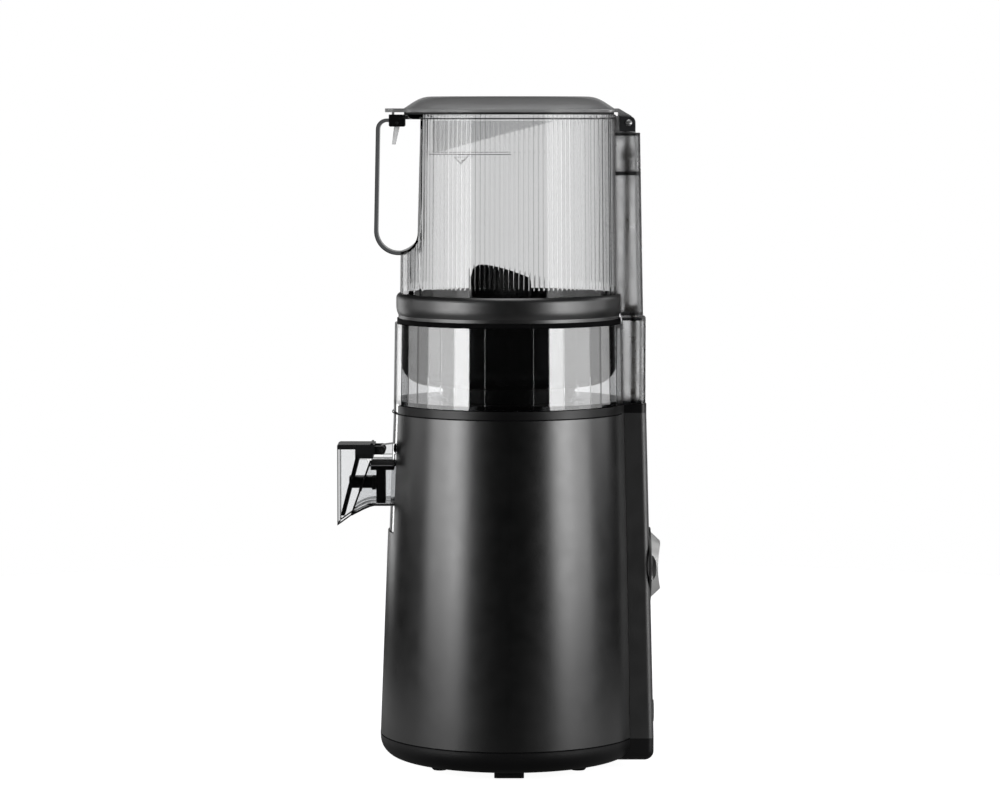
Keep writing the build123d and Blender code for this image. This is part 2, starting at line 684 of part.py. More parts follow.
# ---- motor and gears ----
def motor_can():
    """The drawn steel can that holds the stator, with windows for the fan's air near its top."""
    bore = MOTOR_SHAFT_RADIUS + MOTOR_BEARING_WALL
    inside = MOTOR_RADIUS - MOTOR_WALL
    floor = MOTOR_FOOT + MOTOR_WALL
    can = turned(
        (bore, MOTOR_FOOT), (MOTOR_RADIUS, MOTOR_FOOT), (MOTOR_RADIUS, CAN_TOP),
        (inside, CAN_TOP), (inside, floor), (bore, floor),
    )
    for at in PolarLocations(MOTOR_RADIUS, CAN_WINDOWS):
        can -= at * Pos(0, 0, CAN_TOP - CAN_WINDOW_DROP) * Box(
            4 * MOTOR_WALL, CAN_WINDOW_WIDTH, CAN_WINDOW_HEIGHT
        )
    return can


def motor_cradle():
    """The rubber-lined legs that carry the motor on the pan."""
    under = MOTOR_FOOT - CRADLE_THICKNESS
    cradle = ring(MOTOR_RADIUS - CRADLE_WIDTH, MOTOR_RADIUS, under, MOTOR_FOOT)
    for at in PolarLocations(MOTOR_RADIUS - CRADLE_WIDTH / 2, 4, start_angle=0):
        cradle += at * disc(CRADLE_LEG_RADIUS, PAN_FLOOR + SEAT_FIT, under)
    return cradle


def motor_stator():
    """The laminated stack of the stator."""
    return ring(STATOR_BORE, MOTOR_RADIUS - MOTOR_WALL - SEAT_FIT, STATOR_FOOT, STATOR_TOP)


def motor_windings():
    """The copper end turns above and below the stack."""
    inner = STATOR_BORE + WINDING_INSET
    outer = MOTOR_RADIUS - MOTOR_WALL - WINDING_MARGIN
    below = ring(inner, outer, STATOR_FOOT - WINDING_HEIGHT, STATOR_FOOT)
    above = ring(inner, outer, STATOR_TOP, STATOR_TOP + WINDING_HEIGHT)
    return [below, above]


def motor_bearings():
    """The two ball bearings of the motor's shaft."""
    inner = MOTOR_SHAFT_RADIUS + RUN_GAP
    outer = MOTOR_SHAFT_RADIUS + MOTOR_BEARING_WALL - SEAT_FIT
    low = ring(inner, outer, MOTOR_FOOT, MOTOR_FOOT + MOTOR_BEARING_HEIGHT)
    high = ring(inner, outer, CAN_TOP, CAN_TOP + MOTOR_BEARING_HEIGHT)
    return [low, high]


def involute(angle):
    """The involute function."""
    return tan(angle) - angle


def gear(teeth, addendum, foot, top, turn):
    """A spur gear on the drive axis, its first tooth turned by an angle in degrees."""
    pitch = MODULE * teeth / 2
    base = pitch * cos(radians(PRESSURE_ANGLE))
    root = pitch - 1.2 * MODULE
    tip = pitch + addendum * MODULE
    middle = (max(base, root) + tip) / 2
    half_at_pitch = pi / (2 * teeth) - BACKLASH / (2 * pitch)

    def half_tooth(radius):
        """Half a tooth's angle at a radius."""
        flank = acos(min(1.0, base / radius))
        return half_at_pitch + involute(radians(PRESSURE_ANGLE)) - involute(flank)

    flank = [(root, half_tooth(max(base, root))), (middle, half_tooth(middle)), (tip, half_tooth(tip))]
    corners = []
    for tooth in range(teeth):
        at = 2 * pi * tooth / teeth + radians(turn)
        for radius, half in flank:
            corners.append((radius * cos(at - half), radius * sin(at - half)))
        for radius, half in reversed(flank):
            corners.append((radius * cos(at + half), radius * sin(at + half)))
    return Pos(0, 0, foot) * extrude(make_face(Polyline(*corners, close=True)), top - foot)


def output_gear():
    """The big wheel on the drive shaft, lightened by round windows."""
    wheel = gear(WHEEL_TEETH, WHEEL_ADDENDUM, OUTPUT_WHEEL_FOOT, OUTPUT_WHEEL_TOP, 0)
    wheel -= disc(SHAFT_RADIUS, OUTPUT_WHEEL_FOOT, OUTPUT_WHEEL_TOP)
    for at in PolarLocations(WHEEL_WINDOW_CIRCLE, WHEEL_WINDOWS):
        wheel -= at * disc(WHEEL_WINDOW_RADIUS, OUTPUT_WHEEL_FOOT, OUTPUT_WHEEL_TOP)
    return wheel


def idler_gear():
    """The compound idler: its wheel meets the motor's pinion, its pinion the output wheel."""
    pinion_top = OUTPUT_WHEEL_TOP + FACE_GAP
    wheel = gear(WHEEL_TEETH, WHEEL_ADDENDUM, INPUT_WHEEL_FOOT, INPUT_WHEEL_TOP, 180 / WHEEL_TEETH)
    pinion = gear(PINION_TEETH, PINION_ADDENDUM, INPUT_WHEEL_TOP, pinion_top, 180 / PINION_TEETH)
    bore = disc(IDLER_AXLE_RADIUS + RUN_GAP, INPUT_WHEEL_FOOT, pinion_top)
    return Pos(CENTRE_DISTANCE, 0, 0) * (wheel + pinion - bore)


def idler_axle():
    """The fixed steel pin that the idler turns on."""
    return disc(IDLER_AXLE_RADIUS, GEARCASE_FOOT + GEARCASE_WALL, GEARCASE_TOP, CENTRE_DISTANCE)


def motor_shaft():
    """The motor's shaft with the pinion cut on its top end."""
    foot = INPUT_WHEEL_FOOT - PINION_MARGIN
    shaft = disc(MOTOR_SHAFT_RADIUS, MOTOR_FOOT - MOTOR_SHAFT_TAIL, foot)
    return shaft + gear(PINION_TEETH, PINION_ADDENDUM, foot, INPUT_WHEEL_TOP + PINION_MARGIN, 0)


def motor_rotor():
    """The laminated rotor pressed on the motor's shaft."""
    return ring(MOTOR_SHAFT_RADIUS, ROTOR_RADIUS, STATOR_FOOT, STATOR_TOP)


def cooling_fan():
    """The radial fan under the stator."""
    foot = MOTOR_FOOT + FAN_LIFT
    plate_top = foot + FAN_PLATE_THICKNESS
    top = STATOR_FOOT - WINDING_HEIGHT - FAN_GAP
    hub_radius = MOTOR_SHAFT_RADIUS + FAN_HUB_WALL
    fan = ring(MOTOR_SHAFT_RADIUS, hub_radius, foot, top)
    fan += ring(MOTOR_SHAFT_RADIUS, FAN_RADIUS, foot, plate_top)
    blade = Box(FAN_BLADE_LENGTH, FAN_BLADE_THICKNESS, top - plate_top)
    for at in PolarLocations((FAN_RADIUS + hub_radius) / 2, FAN_BLADES):
        fan += at * Pos(0, 0, (plate_top + top) / 2) * Rot(0, 0, FAN_BLADE_TURN) * blade
    return fan


def case_outline(inset):
    """The gearbox outline: a slot round both gear centres."""
    radius = MODULE * (WHEEL_TEETH / 2 + 1) + GEARCASE_ROOM + GEARCASE_WALL - inset
    return Pos(CENTRE_DISTANCE / 2, 0) * SlotCenterToCenter(CENTRE_DISTANCE, 2 * radius)


def gearbox_case():
    """The cast tub that holds the gears, standing on the motor's can."""
    tub = Pos(0, 0, GEARCASE_FOOT) * extrude(case_outline(0), GEARCASE_TOP - GEARCASE_FOOT)
    room_foot = GEARCASE_FOOT + GEARCASE_WALL
    tub -= Pos(0, 0, room_foot) * extrude(case_outline(GEARCASE_WALL), GEARCASE_TOP - room_foot)
    bore = MOTOR_SHAFT_RADIUS + MOTOR_BEARING_WALL
    tub += ring(bore, MOTOR_RADIUS, CAN_TOP, GEARCASE_FOOT)
    return tub - disc(bore, CAN_TOP, room_foot)


def gearbox_cover():
    """The cover with the bearing turret of the drive shaft."""
    top = GEARCASE_TOP + COVER_THICKNESS
    turret_top = GEARCASE_TOP + TURRET_HEIGHT
    cover = Pos(0, 0, GEARCASE_TOP) * extrude(case_outline(0), COVER_THICKNESS)
    cover += disc(BEARING_RADIUS + TURRET_WALL, GEARCASE_TOP, turret_top)
    cover -= disc(BEARING_RADIUS, GEARCASE_TOP, GEARCASE_TOP + 2 * BEARING_HEIGHT)
    return cover - disc(SHAFT_RADIUS + TURRET_MOUTH_GAP, top, turret_top)


def shaft_bearings():
    """The two ball bearings in the turret."""
    middle = GEARCASE_TOP + BEARING_HEIGHT
    inner = SHAFT_RADIUS + RUN_GAP
    low = ring(inner, BEARING_RADIUS, GEARCASE_TOP, middle - BEARING_SPACING / 2)
    high = ring(inner, BEARING_RADIUS, middle + BEARING_SPACING / 2, middle + BEARING_HEIGHT)
    return [low, high]


def shaft_seal():
    """The lip seal where the drive shaft leaves the well's floor."""
    return ring(
        SHAFT_RADIUS + SEAT_FIT, SHAFT_RADIUS + SHAFT_SEAL_WIDTH,
        WELL_FLOOR - WELL_WALL, WELL_FLOOR + SHAFT_SEAL_PROUD,
    )


def drive_shaft():
    """The drive shaft: a round journal below, a hexagon with a chamfered end above."""
    hexagon = RegularPolygon(HEX_ACROSS_FLATS / 2, 6, major_radius=False)
    stub = Pos(0, 0, CHAMBER_HUB_TOP) * extrude(hexagon, HEX_LENGTH)
    stub &= turned(
        (0, CHAMBER_HUB_TOP), (SHAFT_RADIUS, CHAMBER_HUB_TOP), (SHAFT_RADIUS, SHAFT_TOP - HEX_CHAMFER),
        (SHAFT_RADIUS - HEX_CHAMFER, SHAFT_TOP), (0, SHAFT_TOP),
    )
    return disc(SHAFT_RADIUS, OUTPUT_WHEEL_FOOT - SHAFT_TAIL, CHAMBER_HUB_TOP) + stub


# ---- electrical fittings ----
def bracket_reach():
    """How far in front of the drive axis the board's bracket stands."""
    return body_radius(PAN_TOP + BOARD_LIFT + BOARD_HEIGHT) - BODY_WALL - BOARD_STANDOFF


def control_board():
    """The control board on edge inside the front of the body: heat sink, relay and capacitor on it."""
    face = -bracket_reach() + BRACKET_THICKNESS + BOARD_THICKNESS
    foot = PAN_TOP + BOARD_LIFT
    half = BOARD_WIDTH / 2
    low = foot + BOARD_MARGIN
    left = -half + BOARD_MARGIN
    board = block(-half, half, face - BOARD_THICKNESS, face, foot, foot + BOARD_HEIGHT)
    board += block(left, left + HEATSINK_WIDTH, face, face + HEATSINK_DEPTH, low, low + HEATSINK_HEIGHT)
    board += block(0, RELAY_BOX_WIDTH, face, face + RELAY_BOX_DEPTH, low, low + RELAY_BOX_HEIGHT)
    x = half - BOARD_MARGIN - CAPACITOR_RADIUS
    z = foot + BOARD_HEIGHT - BOARD_MARGIN - CAPACITOR_RADIUS
    can = Rot(90, 0, 0) * Cylinder(CAPACITOR_RADIUS, CAPACITOR_LENGTH)
    return board + Pos(x, face + CAPACITOR_LENGTH / 2, z) * can


def board_bracket():
    """The bracket that holds the board off the body's wall and stands on the pan."""
    foot = PAN_FLOOR + SEAT_FIT
    half = BRACKET_WIDTH / 2
    front = -bracket_reach()
    back = front + BRACKET_THICKNESS
    plate = block(-half, half, front, back, foot, PAN_TOP + BOARD_LIFT + BOARD_HEIGHT)
    return plate + block(-half, half, back, back + BRACKET_FOOT, foot, foot + BRACKET_THICKNESS)


def selector_switch():
    """The rotary switch behind the knob."""
    back = body_spine_reach(KNOB_Z) - SPINE_WALL - SELECTOR_SLACK
    front = body_radius(KNOB_Z) + SELECTOR_STANDOFF
    low = KNOB_Z - SELECTOR_HALF_HEIGHT
    box = block(-SELECTOR_HALF_WIDTH, SELECTOR_HALF_WIDTH, front, back, low, low + 2 * SELECTOR_HALF_HEIGHT)
    stem = Pos(0, back, KNOB_Z) * Rot(90, 0, 0) * Cylinder(KNOB_STEM_RADIUS + RUN_GAP, 2 * KNOB_STEM_GRIP)
    return box - stem


def knob_ring():
    """The flat ring round the knob."""
    face = body_spine_reach(KNOB_Z) + KNOB_RING_PROUD
    middle = Pos(0, face, KNOB_Z) * Rot(90, 0, 0)
    depth = 2 * KNOB_DEPTH
    washer = middle * (Cylinder(KNOB_RING_RADIUS, depth) - Cylinder(KNOB_RADIUS + SLIDE_GAP, depth))
    washer &= block(-BODY_TOP_RADIUS, BODY_TOP_RADIUS, 0, face, PAN_TOP, BODY_TOP)
    return washer - body_spine(0, PAN_TOP, BODY_TOP)


def selector_knob():
    """The dished metal knob with a waisted grip, and its stem."""
    seat = body_spine_reach(KNOB_Z - KNOB_RADIUS) + FACE_GAP
    face = seat + KNOB_DEPTH
    edge = seat + KNOB_EDGE_HEIGHT
    shoulder = KNOB_RADIUS - KNOB_SHOULDER
    waist = KNOB_RADIUS - KNOB_SHOULDER / 2
    profile = make_face(
        [
            Line((0, seat), (KNOB_RADIUS, seat)),
            Line((KNOB_RADIUS, seat), (KNOB_RADIUS, edge)),
            ThreePointArc((KNOB_RADIUS, edge), (waist, face - KNOB_EDGE_HEIGHT), (shoulder, face)),
            Line((shoulder, face), (0, face)),
            Line((0, face), (0, seat)),
        ]
    )
    turned_knob = Pos(0, 0, KNOB_Z) * revolve(profile, Axis.Y)
    scoop = Pos(0, face + KNOB_SCOOP_RADIUS - KNOB_SCOOP_DEPTH, KNOB_Z) * Rot(0, 90, 0)
    knob = turned_knob - scoop * Cylinder(KNOB_SCOOP_RADIUS, 4 * KNOB_RADIUS)
    end = body_spine_reach(KNOB_Z) - SPINE_WALL - SELECTOR_SLACK - KNOB_STEM_GRIP
    stem = Pos(0, (seat + end) / 2, KNOB_Z) * Rot(90, 0, 0) * Cylinder(KNOB_STEM_RADIUS, seat - end)
    return knob + stem


def lid_switch():
    """The micro-switch under the spine's top, held by the plunger."""
    front = body_radius(BODY_TOP) + SWITCH_STANDOFF
    back = body_spine_reach(BODY_TOP) - SPINE_WALL - SLIDE_GAP
    top = BODY_TOP - SWITCH_DROP
    return block(-SWITCH_HALF_WIDTH, SWITCH_HALF_WIDTH, front, back, top - SWITCH_HEIGHT, top)


def switch_plunger():
    """The short plunger between the micro-switch and the relay pin, with a collar under the trim ring."""
    stem = disc(RELAY_RADIUS, BODY_TOP - SWITCH_DROP + FACE_GAP, RELAY_FOOT - FACE_GAP, 0, RELAY_REACH)
    collar_top = BODY_TOP - PLUNGER_COLLAR_DROP
    collar = disc(
        RELAY_RADIUS + PLUNGER_COLLAR_WIDTH, collar_top - PLUNGER_COLLAR_HEIGHT, collar_top, 0, RELAY_REACH
    )
    return stem + collar


def cord_gland():
    """The empty gland where a supply cord would leave the spine."""
    wall = body_spine_reach(GLAND_Z)
    neck = Rot(90, 0, 0) * Cylinder(GLAND_NECK_RADIUS - SEAT_FIT, SPINE_WALL + GLAND_TAIL)
    flange = Rot(90, 0, 0) * Cylinder(GLAND_RADIUS, 2 * GLAND_PROUD)
    gland = Pos(0, wall - (SPINE_WALL + GLAND_TAIL) / 2, GLAND_Z) * neck
    gland += Pos(0, wall, GLAND_Z) * flange - body_spine(0, PAN_TOP, BODY_TOP)
    return gland - Pos(0, wall, GLAND_Z) * Rot(90, 0, 0) * Cylinder(GLAND_BORE_RADIUS, 2 * GLAND_RADIUS)


# ---- the juicing chamber ----
def chamber_radius(z):
    """The chamber band's radius across flats at a height."""
    rise = (z - CHAMBER_FOOT) / CHAMBER_HEIGHT
    return CHAMBER_FOOT_RADIUS + (CHAMBER_TOP_RADIUS - CHAMBER_FOOT_RADIUS) * rise


def apron_form(inset):
    """The apron's curved body as a solid, moved inwards by inset."""
    outer = APRON_INSET + inset
    return body_cone(outer, APRON_FOOT, BODY_TOP) + disc(
        body_radius(BODY_TOP) - outer, BODY_TOP, CHAMBER_FOOT + CHAMBER_WALL
    )


def duct(x, half_width, foot, top, inset):
    """A straight duct from the bowl out through the apron."""
    return block(
        x - half_width + inset, x + half_width - inset,
        -body_radius(foot) - THROUGH, -CHAMBER_HUB_RADIUS - THROUGH,
        foot + inset, top - inset,
    )


def pulp_way():
    """The way that the pulp takes from the strainer out through the apron."""
    return duct(-SPOUT_OFFSET, SPOUT_HALF_WIDTH, SPOUT_FLOOR, SPOUT_TOP, SPOUT_WALL)


def juice_chamber():
    """The clear chamber: fluted band, bowl, hub, front apron and its two ducts in one moulding."""
    step = CHAMBER_FOOT + CHAMBER_WALL
    band = faceted(CHAMBER_FOOT_RADIUS, CHAMBER_TOP_RADIUS, CHAMBER_FOOT, CHAMBER_TOP)
    band -= faceted(
        CHAMBER_FOOT_RADIUS - CHAMBER_WALL, CHAMBER_TOP_RADIUS - CHAMBER_WALL, step, CHAMBER_TOP
    )
    bowl = disc(BOWL_RADIUS, CHAMBER_FLOOR, step)
    apron = apron_form(0) - apron_form(APRON_WALL)
    apron &= block(
        -APRON_HALF_WIDTH, APRON_HALF_WIDTH, -BODY_FOOT_RADIUS, -BOWL_RADIUS,
        APRON_FOOT, CHAMBER_FOOT + CHAMBER_WALL / 2,
    )
    juice_duct = duct(SPOUT_OFFSET, SPOUT_HALF_WIDTH, SPOUT_FLOOR, SPOUT_TOP, 0)
    pulp_duct = duct(-SPOUT_OFFSET, SPOUT_HALF_WIDTH, SPOUT_FLOOR, SPOUT_TOP, 0)
    juice_way = duct(SPOUT_OFFSET, SPOUT_HALF_WIDTH, SPOUT_FLOOR, SPOUT_TOP, SPOUT_WALL)
    strainer_room = disc(STRAINER_RADIUS + STRAINER_RIM + SLIDE_GAP, CHAMBER_FLOOR, step + THROUGH)
    hub = disc(CHAMBER_HUB_RADIUS, CHAMBER_FLOOR, CHAMBER_HUB_TOP)
    room = disc(BOWL_RADIUS - BOWL_WALL, CHAMBER_FLOOR + BOWL_WALL, step + THROUGH)
    room = room - (pulp_duct - strainer_room) - hub
    chamber = band + bowl + apron + ((juice_duct + pulp_duct) & apron_form(0)) - room
    chamber -= disc(SHAFT_RADIUS + HUB_CLEARANCE, CHAMBER_FLOOR, CHAMBER_HUB_TOP)
    return chamber - juice_way - pulp_way()


def chamber_lobe():
    """The smoked hollow lobe behind the chamber that carries the relay pin."""
    foot = CHAMBER_FOOT
    outer = spine_form(foot, SPINE_HALF_WIDTH, LOBE_REACH, LOBE_TOP, SPINE_HALF_WIDTH, LOBE_REACH)
    inner = spine_form(
        foot + SPINE_WALL, SPINE_HALF_WIDTH, LOBE_REACH,
        LOBE_TOP - SPINE_WALL, SPINE_HALF_WIDTH, LOBE_REACH, SPINE_WALL,
    )
    lobe = outer - inner - faceted(
        chamber_radius(CHAMBER_FOOT) + SEAT_FIT, CHAMBER_TOP_RADIUS + SEAT_FIT, CHAMBER_FOOT, LOBE_TOP + THROUGH
    )
    return lobe - disc(RELAY_RADIUS + RUN_GAP, foot, LOBE_TOP, 0, RELAY_REACH)


def relay_pin():
    """The pin that passes the lid's movement down through the chamber's lobe."""
    return disc(RELAY_RADIUS, RELAY_FOOT, RELAY_TOP, 0, RELAY_REACH)


def chamber_seal():
    """The silicone ring between the chamber and the hopper."""
    outer = CHAMBER_TOP_RADIUS - SEAL_INSET
    return ring(outer - SEAL_WIDTH, outer, CHAMBER_TOP, HOPPER_FOOT)


def feed_funnel():
    """The black funnel that leads the slices down to the auger: a shallow bowl with an upright wall."""
    top = CHAMBER_TOP
    throat = STRAINER_TOP
    bore = STRAINER_RADIUS + STRAINER_RIM
    shoulder = CHAMBER_TOP_RADIUS - CHAMBER_WALL - FUNNEL_FLANGE
    flange = CHAMBER_TOP_RADIUS - CHAMBER_WALL - FUNNEL_CLEARANCE
    bowl_top = throat + FUNNEL_BOWL_HEIGHT
    wall = FUNNEL_WALL
    profile = make_face(
        [
            Line((bore, throat - FUNNEL_SKIRT), (bore + wall, throat - FUNNEL_SKIRT)),
            Line((bore + wall, throat - FUNNEL_SKIRT), (bore + wall, throat)),
            TangentArc((shoulder, bowl_top), (bore + wall, throat), tangent=(0, -1)),
            Line((shoulder, bowl_top), (shoulder, top - FUNNEL_RIM)),
            Line((shoulder, top - FUNNEL_RIM), (flange, top - FUNNEL_RIM)),
            Line((flange, top - FUNNEL_RIM), (flange, top)),
            Line((flange, top), (shoulder - wall, top)),
            Line((shoulder - wall, top), (shoulder - wall, bowl_top)),
            TangentArc((shoulder - wall, bowl_top), (bore, throat + wall), tangent=(0, -1)),
            Line((bore, throat + wall), (bore, throat - FUNNEL_SKIRT)),
        ]
    )
    return revolve(Plane.XZ * profile, Axis.Z)


def strainer():
    """The slotted basket that holds the pulp back round the auger."""
    inner = STRAINER_RADIUS - STRAINER_WALL
    rim = STRAINER_RADIUS + STRAINER_RIM
    collar_foot = STRAINER_TOP - STRAINER_COLLAR_HEIGHT
    wall = ring(inner, STRAINER_RADIUS, STRAINER_FOOT, STRAINER_TOP)
    collar = ring(inner, rim, collar_foot, STRAINER_TOP)
    foot = ring(inner, rim, STRAINER_FOOT, STRAINER_FOOT + STRAINER_FOOT_HEIGHT)
    basket = wall + collar + foot
    slot_top = collar_foot - STRAINER_SLOT_MARGIN / 2
    slot_foot = STRAINER_FOOT + STRAINER_SLOT_MARGIN
    slot = Box(6 * STRAINER_WALL, STRAINER_SLOT_WIDTH, slot_top - slot_foot)
    for at in PolarLocations(STRAINER_RADIUS, STRAINER_SLOTS):
        basket -= at * Pos(0, 0, (slot_foot + slot_top) / 2) * slot
    return basket - pulp_way()


def spout_outline(grow):
    """The side outline of a spout: flat top, slanting mouth, curved floor."""
    back = -BOWL_RADIUS - THROUGH
    return [
        Line((back, SPOUT_TOP - grow), (-SPOUT_MOUTH_TOP_REACH, SPOUT_TOP - grow)),
        Line((-SPOUT_MOUTH_TOP_REACH, SPOUT_TOP - grow), (-SPOUT_REACH, SPOUT_LIP + grow)),
        TangentArc((-SPOUT_BEND_REACH, SPOUT_FLOOR + grow), (-SPOUT_REACH, SPOUT_LIP + grow), tangent=(-1, 0)),
        Line((-SPOUT_BEND_REACH, SPOUT_FLOOR + grow), (back, SPOUT_FLOOR + grow)),
        Line((back, SPOUT_FLOOR + grow), (back, SPOUT_TOP - grow)),
    ]


def spout(x):
    """A clear spout on the apron, open at its slanting mouth."""
    inside = SPOUT_HALF_WIDTH - SPOUT_WALL
    solid = extrude(Plane.YZ * make_face(spout_outline(0)), amount=SPOUT_HALF_WIDTH, both=True)
    way = extrude(Plane.YZ * make_face(spout_outline(SPOUT_WALL)), amount=inside, both=True)
    roof = SPOUT_TOP - SPOUT_WALL
    mouth = side_plate(
        inside,
        (-SPOUT_MOUTH_TOP_REACH + SPOUT_WALL, roof), (-SPOUT_MOUTH_TOP_REACH - 4 * THROUGH, roof),
        (-SPOUT_REACH - 4 * THROUGH, SPOUT_LIP + SPOUT_WALL),
        (-SPOUT_REACH + SPOUT_WALL, SPOUT_LIP + 2 * SPOUT_WALL),
    )
    tube = Pos(x, 0, 0) * (solid - way - mouth)
    return tube - apron_form(-SEAT_FIT)


def juice_spout():
    """The juice spout with the boss that carries the cap's pin."""
    boss_back = -BOWL_RADIUS - THROUGH
    under = CAP_PIVOT_Z - CAP_BARREL_RADIUS - SLIDE_GAP
    nose = CAP_PIVOT_REACH + CAP_BARREL_RADIUS - FACE_GAP
    boss = side_plate(
        CAP_BOSS_HALF_WIDTH,
        (boss_back, under), (-CAP_PIVOT_REACH, under),
        (-nose, CAP_PIVOT_Z - CAP_BARREL_RADIUS / 3), (-nose, CAP_PIVOT_Z + CAP_BARREL_RADIUS / 3),
        (-CAP_PIVOT_REACH, CAP_PIVOT_Z + CAP_BARREL_RADIUS), (boss_back, CAP_PIVOT_Z + CAP_BOSS_RISE),
    )
    boss -= crossbar(
        CAP_PIN_RADIUS + RUN_GAP, -CAP_PIVOT_REACH, CAP_PIVOT_Z, -SPOUT_HALF_WIDTH, SPOUT_HALF_WIDTH
    )
    web_front = -CAP_PIVOT_REACH + CAP_PIN_RADIUS
    web = side_plate(
        CAP_WEB_WIDTH / 2,
        (boss_back, SPOUT_TOP - SPOUT_WALL / 2), (web_front, SPOUT_TOP - SPOUT_WALL / 2),
        (web_front, under + SLIDE_GAP), (boss_back, under + SLIDE_GAP),
    )
    return spout(SPOUT_OFFSET) + (Pos(SPOUT_OFFSET, 0, 0) * (boss + web) - apron_form(-SEAT_FIT))


def pulp_spout():
    """The open spout for the dry pulp, beside the juice spout."""
    return spout(-SPOUT_OFFSET)


def outlet_seal():
    """The silicone seat in the juice spout, with a flange along its roof and a hole for the plug."""
    half = SPOUT_HALF_WIDTH - SPOUT_WALL - SEAT_FIT
    front = -SEAT_PLATE_REACH
    lip = front - SEAT_LIP
    roof = SPOUT_TOP - SPOUT_WALL - SEAT_FIT
    floor = SPOUT_FLOOR + SPOUT_WALL + SEAT_FIT
    plate = block(-half, half, front, front + SEAT_PLATE_THICKNESS, floor, roof)
    flange = block(-half, half, lip, lip + SEAT_FLANGE_LENGTH, roof - SEAT_FLANGE_THICKNESS, roof)
    hole = Pos(0, front, PLUG_Z) * Rot(90, 0, 0) * Cylinder(PLUG_HOLE_RADIUS, 4 * SEAT_PLATE_THICKNESS)
    return Pos(SPOUT_OFFSET, 0, 0) * (plate + flange - hole)


def cap_pin():
    """The pin of the drip-stop cap."""
    reach = CAP_BOSS_HALF_WIDTH + SLIDE_GAP + CAP_ARM_WIDTH
    return crossbar(CAP_PIN_RADIUS, -CAP_PIVOT_REACH, CAP_PIVOT_Z, SPOUT_OFFSET - reach, SPOUT_OFFSET + reach)


def cap_half_width():
    """Half the width of the cap, which straddles the spout."""
    return SPOUT_HALF_WIDTH + 2 * SLIDE_GAP + CAP_WALL


def cap_lever():
    """The black lever of the cap: top plate, pivot arms, the slanting back and the plug's stem."""
    half = cap_half_width() - CAP_WALL - SEAT_FIT
    heel = -CAP_PIVOT_REACH - CAP_HEEL_GAP
    block_front = heel - CAP_BLOCK_LENGTH
    plate_foot = CAP_TOP - CAP_PLATE_THICKNESS
    plate = side_plate(
        half + CAP_WALL,
        (-CAP_REACH, plate_foot), (-CAP_REACH, CAP_TOP - CAP_CHAMFER / 2), (-CAP_REACH + CAP_CHAMFER, CAP_TOP),
        (heel, CAP_TOP), (heel, CAP_BLOCK_FOOT), (block_front, CAP_BLOCK_FOOT), (block_front, plate_foot),
    )
    ridge = crossbar(CAP_RIDGE_RADIUS, heel - 2 * CAP_RIDGE_RADIUS, CAP_TOP, -half, half)
    arm_half = CAP_BARREL_RADIUS - SEAT_FIT
    arm_end = heel - CAP_CHAMFER / 2
    arm = side_plate(
        CAP_ARM_WIDTH / 2,
        (arm_end, CAP_PIVOT_Z - arm_half), (-CAP_PIVOT_REACH, CAP_PIVOT_Z - arm_half),
        (-CAP_PIVOT_REACH, CAP_PIVOT_Z + arm_half), (arm_end, CAP_PIVOT_Z + arm_half),
    )
    arm += crossbar(CAP_BARREL_RADIUS, -CAP_PIVOT_REACH, CAP_PIVOT_Z, -CAP_ARM_WIDTH / 2, CAP_ARM_WIDTH / 2)
    arm -= crossbar(CAP_PIN_RADIUS + RUN_GAP, -CAP_PIVOT_REACH, CAP_PIVOT_Z, -CAP_ARM_WIDTH, CAP_ARM_WIDTH)
    offset = CAP_BOSS_HALF_WIDTH + SLIDE_GAP + CAP_ARM_WIDTH / 2
    arms = Pos(offset, 0, 0) * arm + Pos(-offset, 0, 0) * arm
    knee = CAP_BLOCK_FOOT - SLANT_THICKNESS
    foot_front = -CAP_REACH + CAP_WALL + SLIDE_GAP
    slant = side_plate(
        half,
        (block_front, knee), (block_front, CAP_BLOCK_FOOT), (heel - CAP_CHAMFER, CAP_BLOCK_FOOT),
        (heel - CAP_CHAMFER, knee), (block_front + SLANT_THICKNESS, knee),
        (foot_front + SLANT_THICKNESS, SPOUT_LIP), (foot_front, SPOUT_LIP),
    )
    stem_front = block_front + (foot_front - block_front) * (knee - PLUG_Z) / (knee - SPOUT_LIP)
    stem_end = -SEAT_PLATE_REACH - FACE_GAP - PLUG_DEPTH
    stem = side_plate(
        PLUG_HALF_WIDTH,
        (stem_front, PLUG_Z - PLUG_THICKNESS / 2), (stem_front, PLUG_Z + PLUG_THICKNESS / 2),
        (stem_end, PLUG_Z + PLUG_THICKNESS / 2), (stem_end, PLUG_Z - PLUG_THICKNESS / 2),
    )
    return Pos(SPOUT_OFFSET, 0, 0) * (plate + ridge + arms + slant + stem)


def cap_cover():
    """The clear cover of the cap: a front wall and two cheeks that guide the juice down."""
    half = cap_half_width()
    top = CAP_TOP - CAP_PLATE_THICKNESS
    cheek_top = CAP_BLOCK_FOOT - SLANT_THICKNESS - SLIDE_GAP
    block_front = -CAP_PIVOT_REACH - CAP_HEEL_GAP - CAP_BLOCK_LENGTH
    solid = side_plate(
        half,
        (-CAP_REACH, top), (-CAP_REACH, CAP_TIP), (-SPOUT_REACH - 2 * SLIDE_GAP, SPOUT_LIP),
        (-SPOUT_MOUTH_TOP_REACH, SPOUT_TOP - SPOUT_WALL), (-SPOUT_MOUTH_TOP_REACH - CAP_WALL, cheek_top),
        (block_front, cheek_top), (block_front, top),
    )
    inside = -CAP_REACH + CAP_WALL
    room = side_plate(
        half - CAP_WALL,
        (inside, top + THROUGH), (inside, CAP_TIP - THROUGH), (0, CAP_TIP - THROUGH), (0, top + THROUGH),
    )
    return Pos(SPOUT_OFFSET, 0, 0) * (solid - room)


